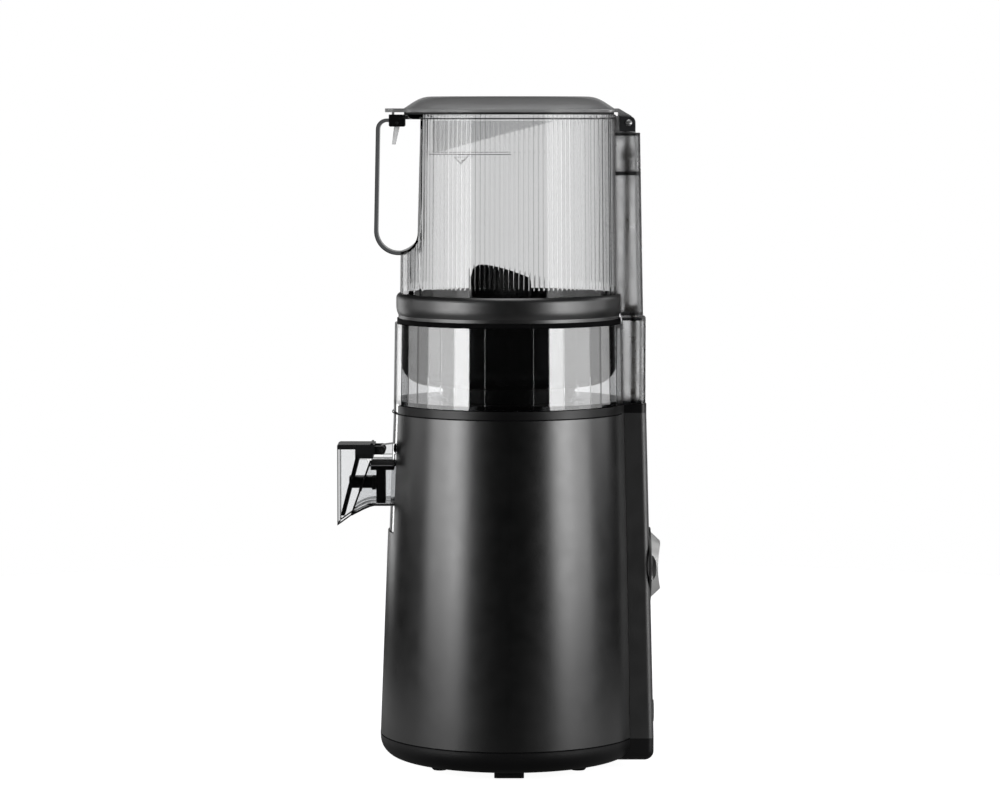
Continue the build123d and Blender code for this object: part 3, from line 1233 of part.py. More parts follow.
def cap_plug():
    """The silicone plug on the stem's end; its nose closes the seat's hole."""
    face = -SEAT_PLATE_REACH - FACE_GAP
    front = face - PLUG_DEPTH
    head = block(
        -PLUG_HALF_WIDTH - PLUG_LIP, PLUG_HALF_WIDTH + PLUG_LIP, front, face,
        PLUG_Z - PLUG_THICKNESS / 2 - PLUG_LIP, PLUG_Z + PLUG_THICKNESS / 2,
    )
    tip = -SEAT_PLATE_REACH + PLUG_NOSE_LENGTH
    nose = Pos(0, (front + tip) / 2, PLUG_Z) * Rot(90, 0, 0) * Cylinder(PLUG_NOSE_RADIUS, tip - front)
    return Pos(SPOUT_OFFSET, 0, 0) * (head + nose)


# ---- the auger ----
def auger():
    """The pressing screw: a tapered core with a helical flight and a hub for the wing."""
    core = turned(
        (0, AUGER_FOOT), (AUGER_CORE_FOOT_RADIUS, AUGER_FOOT), (AUGER_CORE_TOP_RADIUS, STRAINER_TOP),
        (AUGER_HUB_RADIUS, CHAMBER_TOP), (AUGER_HUB_RADIUS, AUGER_TOP), (0, AUGER_TOP),
    )
    outer = STRAINER_RADIUS - STRAINER_WALL - AUGER_GAP
    inner = AUGER_CORE_TOP_RADIUS - AUGER_FLIGHT_THICKNESS / 2
    climb = STRAINER_TOP - AUGER_FOOT - AUGER_FLIGHT_THICKNESS * 2
    path = Helix(AUGER_PITCH, climb, (outer + inner) / 2)
    section = Plane(path @ 0, x_dir=(1, 0, 0), z_dir=path % 0) * Rectangle(outer - inner, AUGER_FLIGHT_THICKNESS)
    flight = Pos(0, 0, AUGER_FOOT + AUGER_FLIGHT_THICKNESS) * sweep(section, path, is_frenet=True)
    screw = core + (flight & disc(outer, AUGER_FOOT, STRAINER_TOP + AUGER_FLIGHT_THICKNESS))
    screw -= disc(CHAMBER_HUB_RADIUS + 2 * SLIDE_GAP, AUGER_FOOT, SOCKET_FOOT)
    return screw - disc(HEX_ACROSS_FLATS / 2 + SOCKET_WALL, SOCKET_FOOT, SHAFT_TOP + SOCKET_WALL)


def auger_socket():
    """The steel socket moulded into the auger, which drops over the hexagon."""
    hexagon = RegularPolygon(HEX_ACROSS_FLATS / 2 + HEX_CLEARANCE, 6, major_radius=False)
    hole = Pos(0, 0, SOCKET_FOOT) * extrude(hexagon, SHAFT_TOP + SLIDE_GAP - SOCKET_FOOT)
    return disc(HEX_ACROSS_FLATS / 2 + SOCKET_WALL, SOCKET_FOOT, SHAFT_TOP + SOCKET_WALL) - hole


def slicing_wing():
    """The curved wing on top of the auger that cuts and sweeps the fruit, rising to its outer end."""
    foot = AUGER_TOP - WING_ROOT
    peak = AUGER_TOP + WING_RISE
    thick = WING_THICKNESS / 2
    bow = WING_REACH * WING_BOW
    beyond = -WING_REACH - WING_HEEL
    hub = turned(
        (0, AUGER_TOP), (AUGER_HUB_RADIUS, AUGER_TOP),
        (AUGER_HUB_RADIUS - thick, AUGER_TOP + WING_CAP_HEIGHT * 2 / 3), (0, AUGER_TOP + WING_CAP_HEIGHT),
    )
    outer = ThreePointArc((thick, WING_HEEL), (bow + thick, -bow), (thick, -WING_REACH))
    inner = ThreePointArc((-thick, -WING_REACH), (bow - thick, -bow), (-thick, WING_HEEL))
    tip = Line((thick, -WING_REACH), (-thick, -WING_REACH))
    plan = make_face([outer, tip, inner, Line((-thick, WING_HEEL), (thick, WING_HEEL))])
    blade = Pos(0, 0, foot) * extrude(plan, peak - foot)
    crest = [
        (WING_HEEL, AUGER_TOP + WING_RISE * 0.42), (-AUGER_HUB_RADIUS, AUGER_TOP + WING_RISE * 0.58),
        (-WING_REACH * 0.62, AUGER_TOP + WING_RISE * 0.76), (-WING_REACH, peak),
    ]
    rise = make_face(
        [
            Line((WING_HEEL, foot), crest[0]),
            Spline(*crest),
            Line(crest[-1], (beyond, peak)),
            Line((beyond, peak), (beyond, foot)),
            Line((beyond, foot), (WING_HEEL, foot)),
        ]
    )
    blade &= extrude(Plane.YZ * rise, amount=WING_REACH, both=True)
    return Rot(0, 0, WING_REST_TURN) * (hub + (blade - disc(AUGER_HUB_RADIUS + SEAT_FIT, 0, AUGER_TOP)))


# ---- the hopper ----
def hopper_radius(z):
    """The hopper's radius across flats at a height."""
    rise = (z - HOPPER_FOOT) / HOPPER_HEIGHT
    return HOPPER_FOOT_RADIUS + (HOPPER_TOP_RADIUS - HOPPER_FOOT_RADIUS) * rise


def finger_recess(grow, top):
    """The space behind the handle, which flattens the hopper's front."""
    near_wall = -GAP_CENTRE_REACH + GAP_RADIUS + grow
    outline = side_plate(
        HOPPER_FOOT_RADIUS,
        (-2 * HOPPER_FOOT_RADIUS, GAP_CENTRE_Z), (near_wall, GAP_CENTRE_Z),
        (near_wall + RECESS_LEAN, top), (-2 * HOPPER_FOOT_RADIUS, top),
    )
    return outline + crossbar(
        GAP_RADIUS + grow, -GAP_CENTRE_REACH, GAP_CENTRE_Z, -HOPPER_FOOT_RADIUS, HOPPER_FOOT_RADIUS
    )


def hopper_form(inset, foot, top, recess_top):
    """The hopper as a solid, moved inwards by inset: fluted, with the flat front."""
    prism = faceted(hopper_radius(foot) - inset, hopper_radius(top) - inset, foot, top)
    return prism - finger_recess(inset, recess_top)


def hopper_shell():
    """The tall fluted hopper with its round rim."""
    shell = hopper_form(0, HOPPER_FOOT, RIM_FOOT, RIM_FOOT) + disc(RIM_RADIUS, RIM_FOOT, RIM_TOP)
    return shell - hopper_form(HOPPER_WALL, HOPPER_FOOT, RIM_TOP, RIM_TOP)


def collar_ring():
    """The black collar that joins the hopper to the chamber, drawn in at its foot."""
    inner = HOPPER_FOOT_RADIUS / cos(pi / FLUTES) + SEAT_FIT
    low = COLLAR_RADIUS - COLLAR_UNDERCUT
    neck = HOPPER_FOOT + COLLAR_NECK
    widest = HOPPER_FOOT + COLLAR_HEIGHT / 2
    shoulder = COLLAR_TOP - COLLAR_ROUND
    profile = make_face(
        [
            Line((inner, HOPPER_FOOT), (low, HOPPER_FOOT)),
            Line((low, HOPPER_FOOT), (low, neck)),
            TangentArc((COLLAR_RADIUS, widest), (low, neck), tangent=(0, -1)),
            Line((COLLAR_RADIUS, widest), (COLLAR_RADIUS, shoulder)),
            TangentArc((COLLAR_RADIUS, shoulder), (COLLAR_RADIUS - COLLAR_ROUND / 2, COLLAR_TOP), tangent=(0, 1)),
            Line((COLLAR_RADIUS - COLLAR_ROUND / 2, COLLAR_TOP), (inner, COLLAR_TOP)),
            Line((inner, COLLAR_TOP), (inner, HOPPER_FOOT)),
        ]
    )
    return revolve(Plane.XZ * profile, Axis.Z)


def hopper_spine():
    """The smoked channel behind the hopper that guides the interlock rod and carries the hinge ears."""
    top = HOPPER_SPINE_TOP
    foot = HOPPER_SPINE_FOOT
    half = SPINE_HALF_WIDTH
    skin = SPINE_WALL / 2
    spine = spine_form(foot, half, HOPPER_SPINE_FOOT_REACH, top, half, HOPPER_SPINE_TOP_REACH)
    spine -= spine_form(
        foot + SPINE_WALL, half, HOPPER_SPINE_FOOT_REACH,
        top - SPINE_WALL, half, HOPPER_SPINE_TOP_REACH, SPINE_WALL,
    )
    spine += block(
        -half + skin, half - skin, BOWL_RADIUS, HOPPER_SPINE_TOP_REACH - skin,
        GUIDE_TOP - GUIDE_THICKNESS, GUIDE_TOP,
    )
    spine -= disc(ROD_RADIUS + RUN_GAP, GUIDE_TOP - THROUGH, GUIDE_TOP, 0, ROD_REACH)
    spine -= disc(RELAY_RADIUS + 2 * SLIDE_GAP, foot, foot + THROUGH / 2, 0, RELAY_REACH)
    slot = HUB_HALF_WIDTH + SLIDE_GAP
    ears = block(
        -slot - EAR_THICKNESS, slot + EAR_THICKNESS,
        BOWL_RADIUS, HINGE_REACH + HUB_RADIUS, top - SPINE_WALL, HINGE_Z + HUB_RADIUS,
    )
    ears = fillet(ears.edges().filter_by(Axis.X).group_by(Axis.Z)[-1].sort_by(Axis.Y)[-1], HUB_RADIUS - SEAT_FIT)
    ears -= block(-slot, slot, BOWL_RADIUS, HINGE_REACH + 2 * HUB_RADIUS, top, RIM_TOP + 2 * THROUGH)
    ears -= crossbar(HINGE_PIN_RADIUS, HINGE_REACH, HINGE_Z, -slot - EAR_THICKNESS, slot + EAR_THICKNESS)
    spine += ears
    spine -= disc(ROD_RADIUS + SLIDE_GAP, top - THROUGH, top, 0, ROD_REACH)
    spine -= faceted(hopper_radius(HOPPER_FOOT) + SEAT_FIT, hopper_radius(RIM_FOOT) + SEAT_FIT, HOPPER_FOOT, RIM_FOOT)
    spine -= disc(RIM_RADIUS + SEAT_FIT, RIM_FOOT - THROUGH / 5, RIM_TOP + THROUGH)
    return spine - disc(COLLAR_RADIUS + SEAT_FIT, HOPPER_FOOT, COLLAR_TOP)


def hinge_pin():
    """The steel pin of the lid's hinge."""
    half = HUB_HALF_WIDTH + SLIDE_GAP + EAR_THICKNESS
    return crossbar(HINGE_PIN_RADIUS, HINGE_REACH, HINGE_Z, -half, half)


def handle_strap():
    """The flat strap of the handle, bent from the latch housing down to the hopper."""
    strap_reach = GAP_CENTRE_REACH + GAP_RADIUS + STRAP_THICKNESS / 2
    low_bend = GAP_RADIUS + STRAP_THICKNESS / 2
    foot = GAP_CENTRE_Z - low_bend
    top = RIM_FOOT - STRAP_TOP_DROP
    root = -sqrt(hopper_radius(foot) ** 2 - (STRAP_WIDTH / 2) ** 2)
    path = FilletPolyline(
        (-LATCH_HOUSING_REACH, top), (-strap_reach + STRAP_LEAN, top), (-strap_reach, foot), (root, foot),
        radius=[STRAP_TOP_BEND, low_bend],
    )
    strap = extrude(Plane.YZ * trace(path, STRAP_THICKNESS), amount=STRAP_WIDTH / 2, both=True)
    return strap - faceted(
        hopper_radius(HOPPER_FOOT) + SEAT_FIT, hopper_radius(RIM_FOOT) + SEAT_FIT, HOPPER_FOOT, RIM_FOOT
    )


def latch_housing():
    """The block under the rim that holds the latch and the handle's top end."""
    half = STRAP_WIDTH / 2
    foot = RIM_TOP - LATCH_HOUSING_HEIGHT
    front = -LATCH_HOUSING_REACH
    housing = block(-half, half, front, front + LATCH_HOUSING_DEPTH, foot, RIM_TOP)
    housing = fillet(housing.edges().filter_by(Axis.X).group_by(Axis.Z)[0], LATCH_HOUSING_ROUND)
    slot = LATCH_SLOT_WIDTH / 2
    slot_front = front + LATCH_HOUSING_WALL
    housing -= block(-slot, slot, slot_front, slot_front + LATCH_SLOT_DEPTH, foot, RIM_TOP)
    housing -= crossbar(LATCH_PIN_RADIUS, -LATCH_PIN_REACH, LATCH_PIN_Z, -half, half)
    return housing - disc(RIM_RADIUS + SEAT_FIT, RIM_FOOT, RIM_TOP)


def latch_pin():
    """The small steel pin of the latch."""
    half = STRAP_WIDTH / 2
    return crossbar(LATCH_PIN_RADIUS, -LATCH_PIN_REACH, LATCH_PIN_Z, -half, half)


def latch_trigger():
    """The frosted trigger: a tongue for the finger below its pin, a nose above it."""
    half = LATCH_SLOT_WIDTH / 2 - SLIDE_GAP
    front = -LATCH_PIN_REACH - TONGUE_THICKNESS / 2
    back = -LATCH_PIN_REACH + TONGUE_THICKNESS / 2
    nose = LATCH_PIN_Z + NOSE_RISE
    bend = LATCH_PIN_Z - TONGUE_BEND
    foot = LATCH_PIN_Z - TONGUE_LENGTH
    tongue = side_plate(
        half,
        (front, nose), (front - NOSE_LENGTH, nose - NOSE_LENGTH), (front - TONGUE_SWELL, LATCH_PIN_Z),
        (front - TONGUE_LEAN / 2, bend), (front - TONGUE_LEAN, foot), (back - TONGUE_LEAN, foot),
        (back, bend), (back + TONGUE_SWELL, LATCH_PIN_Z), (back, nose),
    )
    return tongue - crossbar(LATCH_PIN_RADIUS + RUN_GAP, -LATCH_PIN_REACH, LATCH_PIN_Z, -2 * half, 2 * half)


# ---- the interlock in the hopper's spine ----
def interlock_rod():
    """The rod that the lid's cam pushes down, with a conical head for the spring and an offset foot."""
    rod = disc(ROD_RADIUS, ROD_FOOT, ROD_TOP, 0, ROD_REACH)
    head_foot = GUIDE_TOP + SPRING_TURNS * SPRING_PITCH
    head = Pos(0, ROD_REACH, head_foot + ROD_HEAD_HEIGHT / 2) * Cone(
        ROD_HEAD_RADIUS, ROD_RADIUS + SLIDE_GAP, ROD_HEAD_HEIGHT
    )
    front = ROD_REACH - ROD_RADIUS
    foot = block(
        -ROD_FOOT_WIDTH / 2, ROD_FOOT_WIDTH / 2, front, front + ROD_FOOT_LENGTH, ROD_FOOT, ROD_FOOT + ROD_FOOT_HEIGHT
    )
    return rod + head + foot


def rod_spring():
    """The coil spring that lifts the rod when the lid opens."""
    foot = GUIDE_TOP + SPRING_WIRE / 2
    height = SPRING_TURNS * SPRING_PITCH - SPRING_WIRE
    path = Helix(height / SPRING_TURNS, height, ROD_HEAD_RADIUS - SPRING_WIRE)
    section = Plane(path @ 0, x_dir=(1, 0, 0), z_dir=path % 0) * RegularPolygon(SPRING_WIRE / 2, 6)
    return Pos(0, ROD_REACH, foot) * sweep(section, path, is_frenet=True)


# ---- the lid ----
def involute_cam():
    """The cam on the lid's hub: an involute, so the rod moves evenly with the lid's angle."""
    start = CAM_CLOSED_RADIUS / CAM_LIFT_PER_RADIAN
    steps = 9
    corners = []
    for i in range(steps + 1):
        t = start + CAM_LEAD - (radians(LID_OPENING_DEGREES) + 2 * CAM_LEAD) * i / steps
        x = -CAM_LIFT_PER_RADIAN * (cos(t) + t * sin(t))
        y = CAM_LIFT_PER_RADIAN * (sin(t) - t * cos(t))
        corners.append((x * cos(start) - y * sin(start), x * sin(start) + y * cos(start)))
    corners.append((0, 0))
    cam = extrude(Plane.YZ * make_face(Polyline(*corners, close=True)), amount=CAM_HALF_WIDTH, both=True)
    return Pos(0, HINGE_REACH, HINGE_Z) * cam


def lid():
    """The domed lid with the hinge hub and its cam behind, and the catch, a tab with a lug, welded on in front."""
    edge = LID_RADIUS
    rim = edge - LID_RIM_WIDTH
    top = LID_TOP
    under = top - LID_WALL
    inner_edge = LID_EDGE_TOP - LID_EDGE_HEIGHT / 3
    profile = make_face(
        [
            Line((0, under), (LID_PLATEAU_RADIUS, under)),
            Bezier(
                (LID_PLATEAU_RADIUS, under), (LID_PLATEAU_RADIUS + LID_SLOPE * 0.3, under),
                (rim - LID_SLOPE * 0.2, under - LID_RISE * 0.38), (rim, inner_edge),
            ),
            Line((rim, inner_edge), (rim, LID_FOOT)),
            Line((rim, LID_FOOT), (edge, LID_FOOT)),
            Line((edge, LID_FOOT), (edge, LID_EDGE_TOP - LID_EDGE_ROUND)),
            RadiusArc((edge, LID_EDGE_TOP - LID_EDGE_ROUND), (edge - LID_EDGE_ROUND, LID_EDGE_TOP), -LID_EDGE_ROUND),
            Bezier(
                (edge - LID_EDGE_ROUND, LID_EDGE_TOP), (edge - LID_SLOPE * 0.42, LID_EDGE_TOP + LID_RISE * 0.62),
                (LID_PLATEAU_RADIUS + LID_SLOPE * 0.4, top), (LID_PLATEAU_RADIUS, top),
            ),
            Line((LID_PLATEAU_RADIUS, top), (0, top)),
            Line((0, top), (0, under)),
        ]
    )
    dome = revolve(Plane.XZ * profile, Axis.Z)
    tab = block(-TAB_WIDTH / 2, TAB_WIDTH / 2, -edge - TAB_LENGTH, -rim, LID_FOOT, LID_FOOT + TAB_THICKNESS)
    tab = fillet(tab.edges().filter_by(Axis.Z).group_by(Axis.Y)[0], TAB_WIDTH * 0.4)
    tab -= disc(edge + SEAT_FIT, LID_FOOT - THROUGH, LID_FOOT + TAB_THICKNESS + THROUGH)
    lug_half = LATCH_SLOT_WIDTH / 2 - 2 * SLIDE_GAP
    lug_front = -LATCH_HOUSING_REACH + LATCH_HOUSING_WALL + FACE_GAP
    lug_back = -LATCH_PIN_REACH - TONGUE_THICKNESS / 2 - NOSE_LENGTH - FACE_GAP
    lug = block(-lug_half, lug_half, lug_front, lug_back, RIM_TOP - LUG_DEPTH, LID_FOOT)
    arm_front = RIM_RADIUS + HINGE_ARM_CLEARANCE
    arm = side_plate(
        HUB_HALF_WIDTH,
        (rim, LID_FOOT), (rim, LID_EDGE_TOP), (edge + HINGE_PIN_RADIUS, LID_EDGE_TOP),
        (HINGE_REACH + HINGE_PIN_RADIUS, HINGE_Z + HUB_RADIUS), (HINGE_REACH, HINGE_Z - HINGE_PIN_RADIUS),
        (arm_front, HINGE_Z + HINGE_PIN_RADIUS), (arm_front, LID_FOOT),
    )
    hub = crossbar(HINGE_PIN_RADIUS + HUB_WALL, HINGE_REACH, HINGE_Z, -HUB_HALF_WIDTH, HUB_HALF_WIDTH)
    knuckle = arm + hub + involute_cam()
    knuckle -= crossbar(HINGE_PIN_RADIUS + RUN_GAP, HINGE_REACH, HINGE_Z, -2 * HUB_HALF_WIDTH, 2 * HUB_HALF_WIDTH)
    return dome + tab + lug + knuckle


def lid_seal():
    """The flat gasket under the lid's edge."""
    outer = LID_RADIUS - LID_SEAL_INSET
    return ring(outer - LID_SEAL_WIDTH, outer, RIM_TOP, LID_FOOT)


NODES = {
    "body_shell": body_shell,
    "spine_cover": spine_cover,
    "trim_ring": trim_ring,
    "chamber_well": chamber_well,
    "base_pan": base_pan,
    "block_feet": block_feet,
    "round_feet": round_feet,
    "base_screws": base_screws,
    "motor_can": motor_can,
    "motor_cradle": motor_cradle,
    "motor_stator": motor_stator,
    "motor_windings": motor_windings,
    "motor_bearings": motor_bearings,
    "gearbox_case": gearbox_case,
    "gearbox_cover": gearbox_cover,
    "idler_axle": idler_axle,
    "shaft_bearings": shaft_bearings,
    "shaft_seal": shaft_seal,
    "control_board": control_board,
    "board_bracket": board_bracket,
    "selector_switch": selector_switch,
    "knob_ring": knob_ring,
    "lid_switch": lid_switch,
    "cord_gland": cord_gland,
    "drive_shaft": drive_shaft,
    "output_gear": output_gear,
    "idler_gear": idler_gear,
    "motor_shaft": motor_shaft,
    "motor_rotor": motor_rotor,
    "cooling_fan": cooling_fan,
    "selector_knob": selector_knob,
    "switch_plunger": switch_plunger,
    "juice_chamber": juice_chamber,
    "chamber_lobe": chamber_lobe,
    "chamber_seal": chamber_seal,
    "feed_funnel": feed_funnel,
    "strainer": strainer,
    "juice_spout": juice_spout,
    "pulp_spout": pulp_spout,
    "outlet_seal": outlet_seal,
    "cap_pin": cap_pin,
    "cap_lever": cap_lever,
    "cap_cover": cap_cover,
    "cap_plug": cap_plug,
    "relay_pin": relay_pin,
    "auger": auger,
    "auger_socket": auger_socket,
    "slicing_wing": slicing_wing,
    "hopper_shell": hopper_shell,
    "collar_ring": collar_ring,
    "hopper_spine": hopper_spine,
    "hinge_pin": hinge_pin,
    "handle_strap": handle_strap,
    "latch_housing": latch_housing,
    "latch_pin": latch_pin,
    "latch_trigger": latch_trigger,
    "interlock_rod": interlock_rod,
    "rod_spring": rod_spring,
    "lid": lid,
    "lid_seal": lid_seal,
}

os.makedirs("parts", exist_ok=True)
for name, make in NODES.items():
    made = make()
    solids = made if isinstance(made, list) else [made]
    placed = [Pos(0, AXIS_BEHIND_MIDDLE, 0) * solid for piece in solids for solid in piece.solids()]
    node = placed[0] if len(placed) == 1 else Compound(children=placed)
    export_step(node, f"parts/{name}.step")
    print(name, len(placed), round(sum(solid.volume for solid in placed)))
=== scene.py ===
from math import cos, log, pi, radians, sin, tan

import bpy
import bmesh
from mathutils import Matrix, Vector


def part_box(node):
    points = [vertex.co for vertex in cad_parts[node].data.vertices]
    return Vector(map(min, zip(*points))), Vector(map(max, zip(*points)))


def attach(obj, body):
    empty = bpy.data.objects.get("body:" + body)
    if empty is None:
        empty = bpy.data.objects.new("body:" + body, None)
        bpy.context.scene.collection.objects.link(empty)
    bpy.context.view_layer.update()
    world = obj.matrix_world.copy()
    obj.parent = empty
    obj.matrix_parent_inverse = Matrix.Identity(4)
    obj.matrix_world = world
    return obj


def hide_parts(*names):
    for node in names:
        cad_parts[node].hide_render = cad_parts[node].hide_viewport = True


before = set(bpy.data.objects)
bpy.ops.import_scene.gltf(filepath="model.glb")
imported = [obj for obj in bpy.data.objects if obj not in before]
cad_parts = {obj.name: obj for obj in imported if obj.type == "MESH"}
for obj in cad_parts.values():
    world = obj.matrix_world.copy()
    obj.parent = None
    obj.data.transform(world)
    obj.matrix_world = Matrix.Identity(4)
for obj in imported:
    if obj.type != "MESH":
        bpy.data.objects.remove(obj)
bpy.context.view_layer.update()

# ---- the bottom pan and its feet ----
# The pan is a rounded tub of black moulded plastic with a fine spark-eroded grain, screwed up into the body.
# Two long rubber feet carry the weight and four small domed ones steady it.
PAN_BLACK = (0.004, 0.004, 0.0045)
FOOT_BLACK = (0.006, 0.006, 0.006)
PLASTIC_INDEX = 1.6
NOISE_LOW = 0.3
NOISE_HIGH = 0.7
CLOUD_SIZE = 0.045
GLOSS_SIZE = 0.012
GLOSS_CHANGE = 0.08
MIX_FIRST = 6
MIX_SECOND = 7
MIX_COLOUR = 2


def noise(tree, size, detail=2.0, stretch=(1, 1, 1)):
    """A noise whose blotches are about size metres across, pulled out along stretch."""
    coords = tree.nodes.new("ShaderNodeTexCoord")
    mapping = tree.nodes.new("ShaderNodeMapping")
    mapping.inputs["Scale"].default_value = [1 / (size * s) for s in stretch]
    texture = tree.nodes.new("ShaderNodeTexNoise")
    texture.inputs["Scale"].default_value = 1.0
    texture.inputs["Detail"].default_value = detail
    tree.links.new(coords.outputs["Object"], mapping.inputs["Vector"])
    tree.links.new(mapping.outputs["Vector"], texture.inputs["Vector"])
    return texture.outputs["Fac"]


def spread(tree, factor, low, high):
    """Stretches the middle of a noise over the range from low to high."""
    node = tree.nodes.new("ShaderNodeMapRange")
    node.inputs["From Min"].default_value = NOISE_LOW
    node.inputs["From Max"].default_value = NOISE_HIGH
    node.inputs["To Min"].default_value = low
    node.inputs["To Max"].default_value = high
    tree.links.new(factor, node.inputs["Value"])
    return node.outputs["Result"]


def blend_colour(tree, factor, dark, light):
    """A colour between dark and light by a factor from 0 to 1."""
    node = tree.nodes.new("ShaderNodeMix")
    node.data_type = "RGBA"
    node.inputs[MIX_FIRST].default_value = (*dark, 1)
    node.inputs[MIX_SECOND].default_value = (*light, 1)
    tree.links.new(factor, node.inputs[0])
    return node.outputs[MIX_COLOUR]


def dent(tree, shader, height, depth):
    """Bumps the surface by a height pattern that is depth metres deep."""
    node = tree.nodes.new("ShaderNodeBump")
    node.inputs["Strength"].default_value = 1.0
    node.inputs["Distance"].default_value = depth
    tree.links.new(height, node.inputs["Height"])
    tree.links.new(node.outputs["Normal"], shader.inputs["Normal"])


def blank_material(name):
    """A new material with its node tree and its shader."""
    made = bpy.data.materials.new(name)
    made.use_nodes = True
    return made, made.node_tree, made.node_tree.nodes["Principled BSDF"]


def moulded(name, colour, roughness, grain=0.0005, depth=0.00001, mottle=0.15, ior=PLASTIC_INDEX):
    """Moulded plastic or rubber: a fine grain, and slow changes of tone and gloss over the part."""
    made, tree, shader = blank_material(name)
    cloud = noise(tree, CLOUD_SIZE, detail=3.0)
    dark = [c * (1 - mottle) for c in colour]
    light = [c * (1 + mottle) for c in colour]
    tree.links.new(blend_colour(tree, spread(tree, cloud, 0, 1), dark, light), shader.inputs["Base Color"])
    gloss = noise(tree, GLOSS_SIZE, detail=4.0)
    rough = spread(tree, gloss, roughness * (1 - GLOSS_CHANGE), roughness * (1 + GLOSS_CHANGE))
    tree.links.new(rough, shader.inputs["Roughness"])
    dent(tree, shader, noise(tree, grain), depth)
    shader.inputs["IOR"].default_value = ior
    return made


def finish_node(node, material):
    """Gives a node of the frame its finish."""
    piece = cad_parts[node]
    piece.data.materials.clear()
    piece.data.materials.append(material)


pan_plastic = moulded("pan_plastic", PAN_BLACK, roughness=0.42, grain=0.0007, depth=0.00002)
foot_rubber = moulded("foot_rubber", FOOT_BLACK, roughness=0.75, grain=0.0009, depth=0.00004)
finish_node("base_pan", pan_plastic)
finish_node("block_feet", foot_rubber)
finish_node("round_feet", foot_rubber)

# ---- the screws and other ground steel ----
# Four cap screws hold the pan; the pins of the hinge, the latch, the idler and the cap are ground bar.
# Turned steel, with the lines of the tool running round each piece.
STEEL_GREY = (0.42, 0.42, 0.43)
METAL_SHADE = 0.82
METAL_BRIGHT = 0.75
METAL_DULL = 1.3


def metal(name, colour, roughness, line, stretch, depth=0.000004):
    """Worked metal: fine tool lines along one direction, which also break up the gloss."""
    made, tree, shader = blank_material(name)
    shader.inputs["Metallic"].default_value = 1.0
    lines = noise(tree, line, detail=3.0, stretch=stretch)
    dark = [c * METAL_SHADE for c in colour]
    tree.links.new(blend_colour(tree, spread(tree, lines, 0, 1), dark, colour), shader.inputs["Base Color"])
    rough = spread(tree, lines, roughness * METAL_BRIGHT, roughness * METAL_DULL)
    tree.links.new(rough, shader.inputs["Roughness"])
    dent(tree, shader, lines, depth)
    return made


ground_steel = metal("ground_steel", STEEL_GREY, roughness=0.28, line=0.0004, stretch=(1, 1, 14))
for steel_node in (
    "base_screws", "idler_axle", "drive_shaft", "motor_shaft", "hinge_pin", "latch_pin", "cap_pin",
    "motor_bearings", "shaft_bearings", "auger_socket", "rod_spring",
):
    finish_node(steel_node, ground_steel)

# ---- the motor ----
# A drawn can on a rubber cradle: stacked laminations, copper windings varnished amber, a black fan under them.
# All of it hangs below the gearbox and shows only through the slots of the pan.
CAN_GREY = (0.46, 0.47, 0.48)
STACK_GREY = (0.2, 0.2, 0.21)
COPPER = (0.62, 0.28, 0.12)
FAN_BLACK = (0.02, 0.02, 0.022)
drawn_can = metal("drawn_can", CAN_GREY, roughness=0.38, line=0.0006, stretch=(1, 1, 10))
lamination_stack = metal(
    "lamination_stack", STACK_GREY, roughness=0.5, line=0.0005, stretch=(40, 40, 1), depth=0.00002,
)
varnished_copper = metal(
    "varnished_copper", COPPER, roughness=0.3, line=0.0009, stretch=(1, 1, 8), depth=0.00005,
)
fan_plastic = moulded("fan_plastic", FAN_BLACK, roughness=0.5)
finish_node("motor_can", drawn_can)
finish_node("motor_cradle", foot_rubber)
finish_node("motor_stator", lamination_stack)
finish_node("motor_rotor", lamination_stack)
finish_node("motor_windings", varnished_copper)
finish_node("cooling_fan", fan_plastic)

# ---- the gearbox ----
# Two die-cast halves with a sandy skin are bolted round the gears, which are cut from white acetal and run
# greased. The pins and the rod that tell the switch that the lid is shut are moulded from the same acetal.
CAST_GREY = (0.34, 0.35, 0.36)
ACETAL = (0.72, 0.7, 0.65)
die_cast = metal("die_cast", CAST_GREY, roughness=0.55, line=0.0012, stretch=(1, 1, 1), depth=0.00006)
acetal = moulded("acetal", ACETAL, roughness=0.35, grain=0.002, depth=0.00001, mottle=0.04)
for cast_node in ("gearbox_case", "gearbox_cover"):
    finish_node(cast_node, die_cast)
for gear_node in ("output_gear", "idler_gear", "relay_pin", "interlock_rod", "switch_plunger"):
    finish_node(gear_node, acetal)

# ---- the control board and the switches ----
# A green lacquered board screwed to a black bracket, a rotary switch behind the knob and a micro-switch for
# the lid, both in black moulded housings.
BOARD_GREEN = (0.02, 0.12, 0.05)
SWITCH_BLACK = (0.018, 0.018, 0.02)
lacquered_board = moulded(
    "lacquered_board", BOARD_GREEN, roughness=0.3, grain=0.0015, depth=0.00003, mottle=0.3,
)
switch_plastic = moulded("switch_plastic", SWITCH_BLACK, roughness=0.45)
finish_node("control_board", lacquered_board)
for switch_node in ("board_bracket", "selector_switch", "lid_switch"):
    finish_node(switch_node, switch_plastic)

# ---- the body ----
# A tall tapering shell and the channel down its back, both sprayed with a satin black soft-touch coat.
# The coat is so even that only broad soft highlights show, with the faintest orange peel.
BODY_BLACK = (0.0018, 0.0019, 0.0022)
SPINE_BLACK = (0.014, 0.014, 0.0145)
COAT_INDEX = 2.2
body_coat = moulded(
    "body_coat", BODY_BLACK, roughness=0.3, grain=0.0016, depth=0.000006, mottle=0.06, ior=COAT_INDEX,
)
finish_node("body_shell", body_coat)
spine_coat = moulded(
    "spine_coat", SPINE_BLACK, roughness=0.46, grain=0.0012, depth=0.00001, mottle=0.1, ior=COAT_INDEX,
)
finish_node("spine_cover", spine_coat)

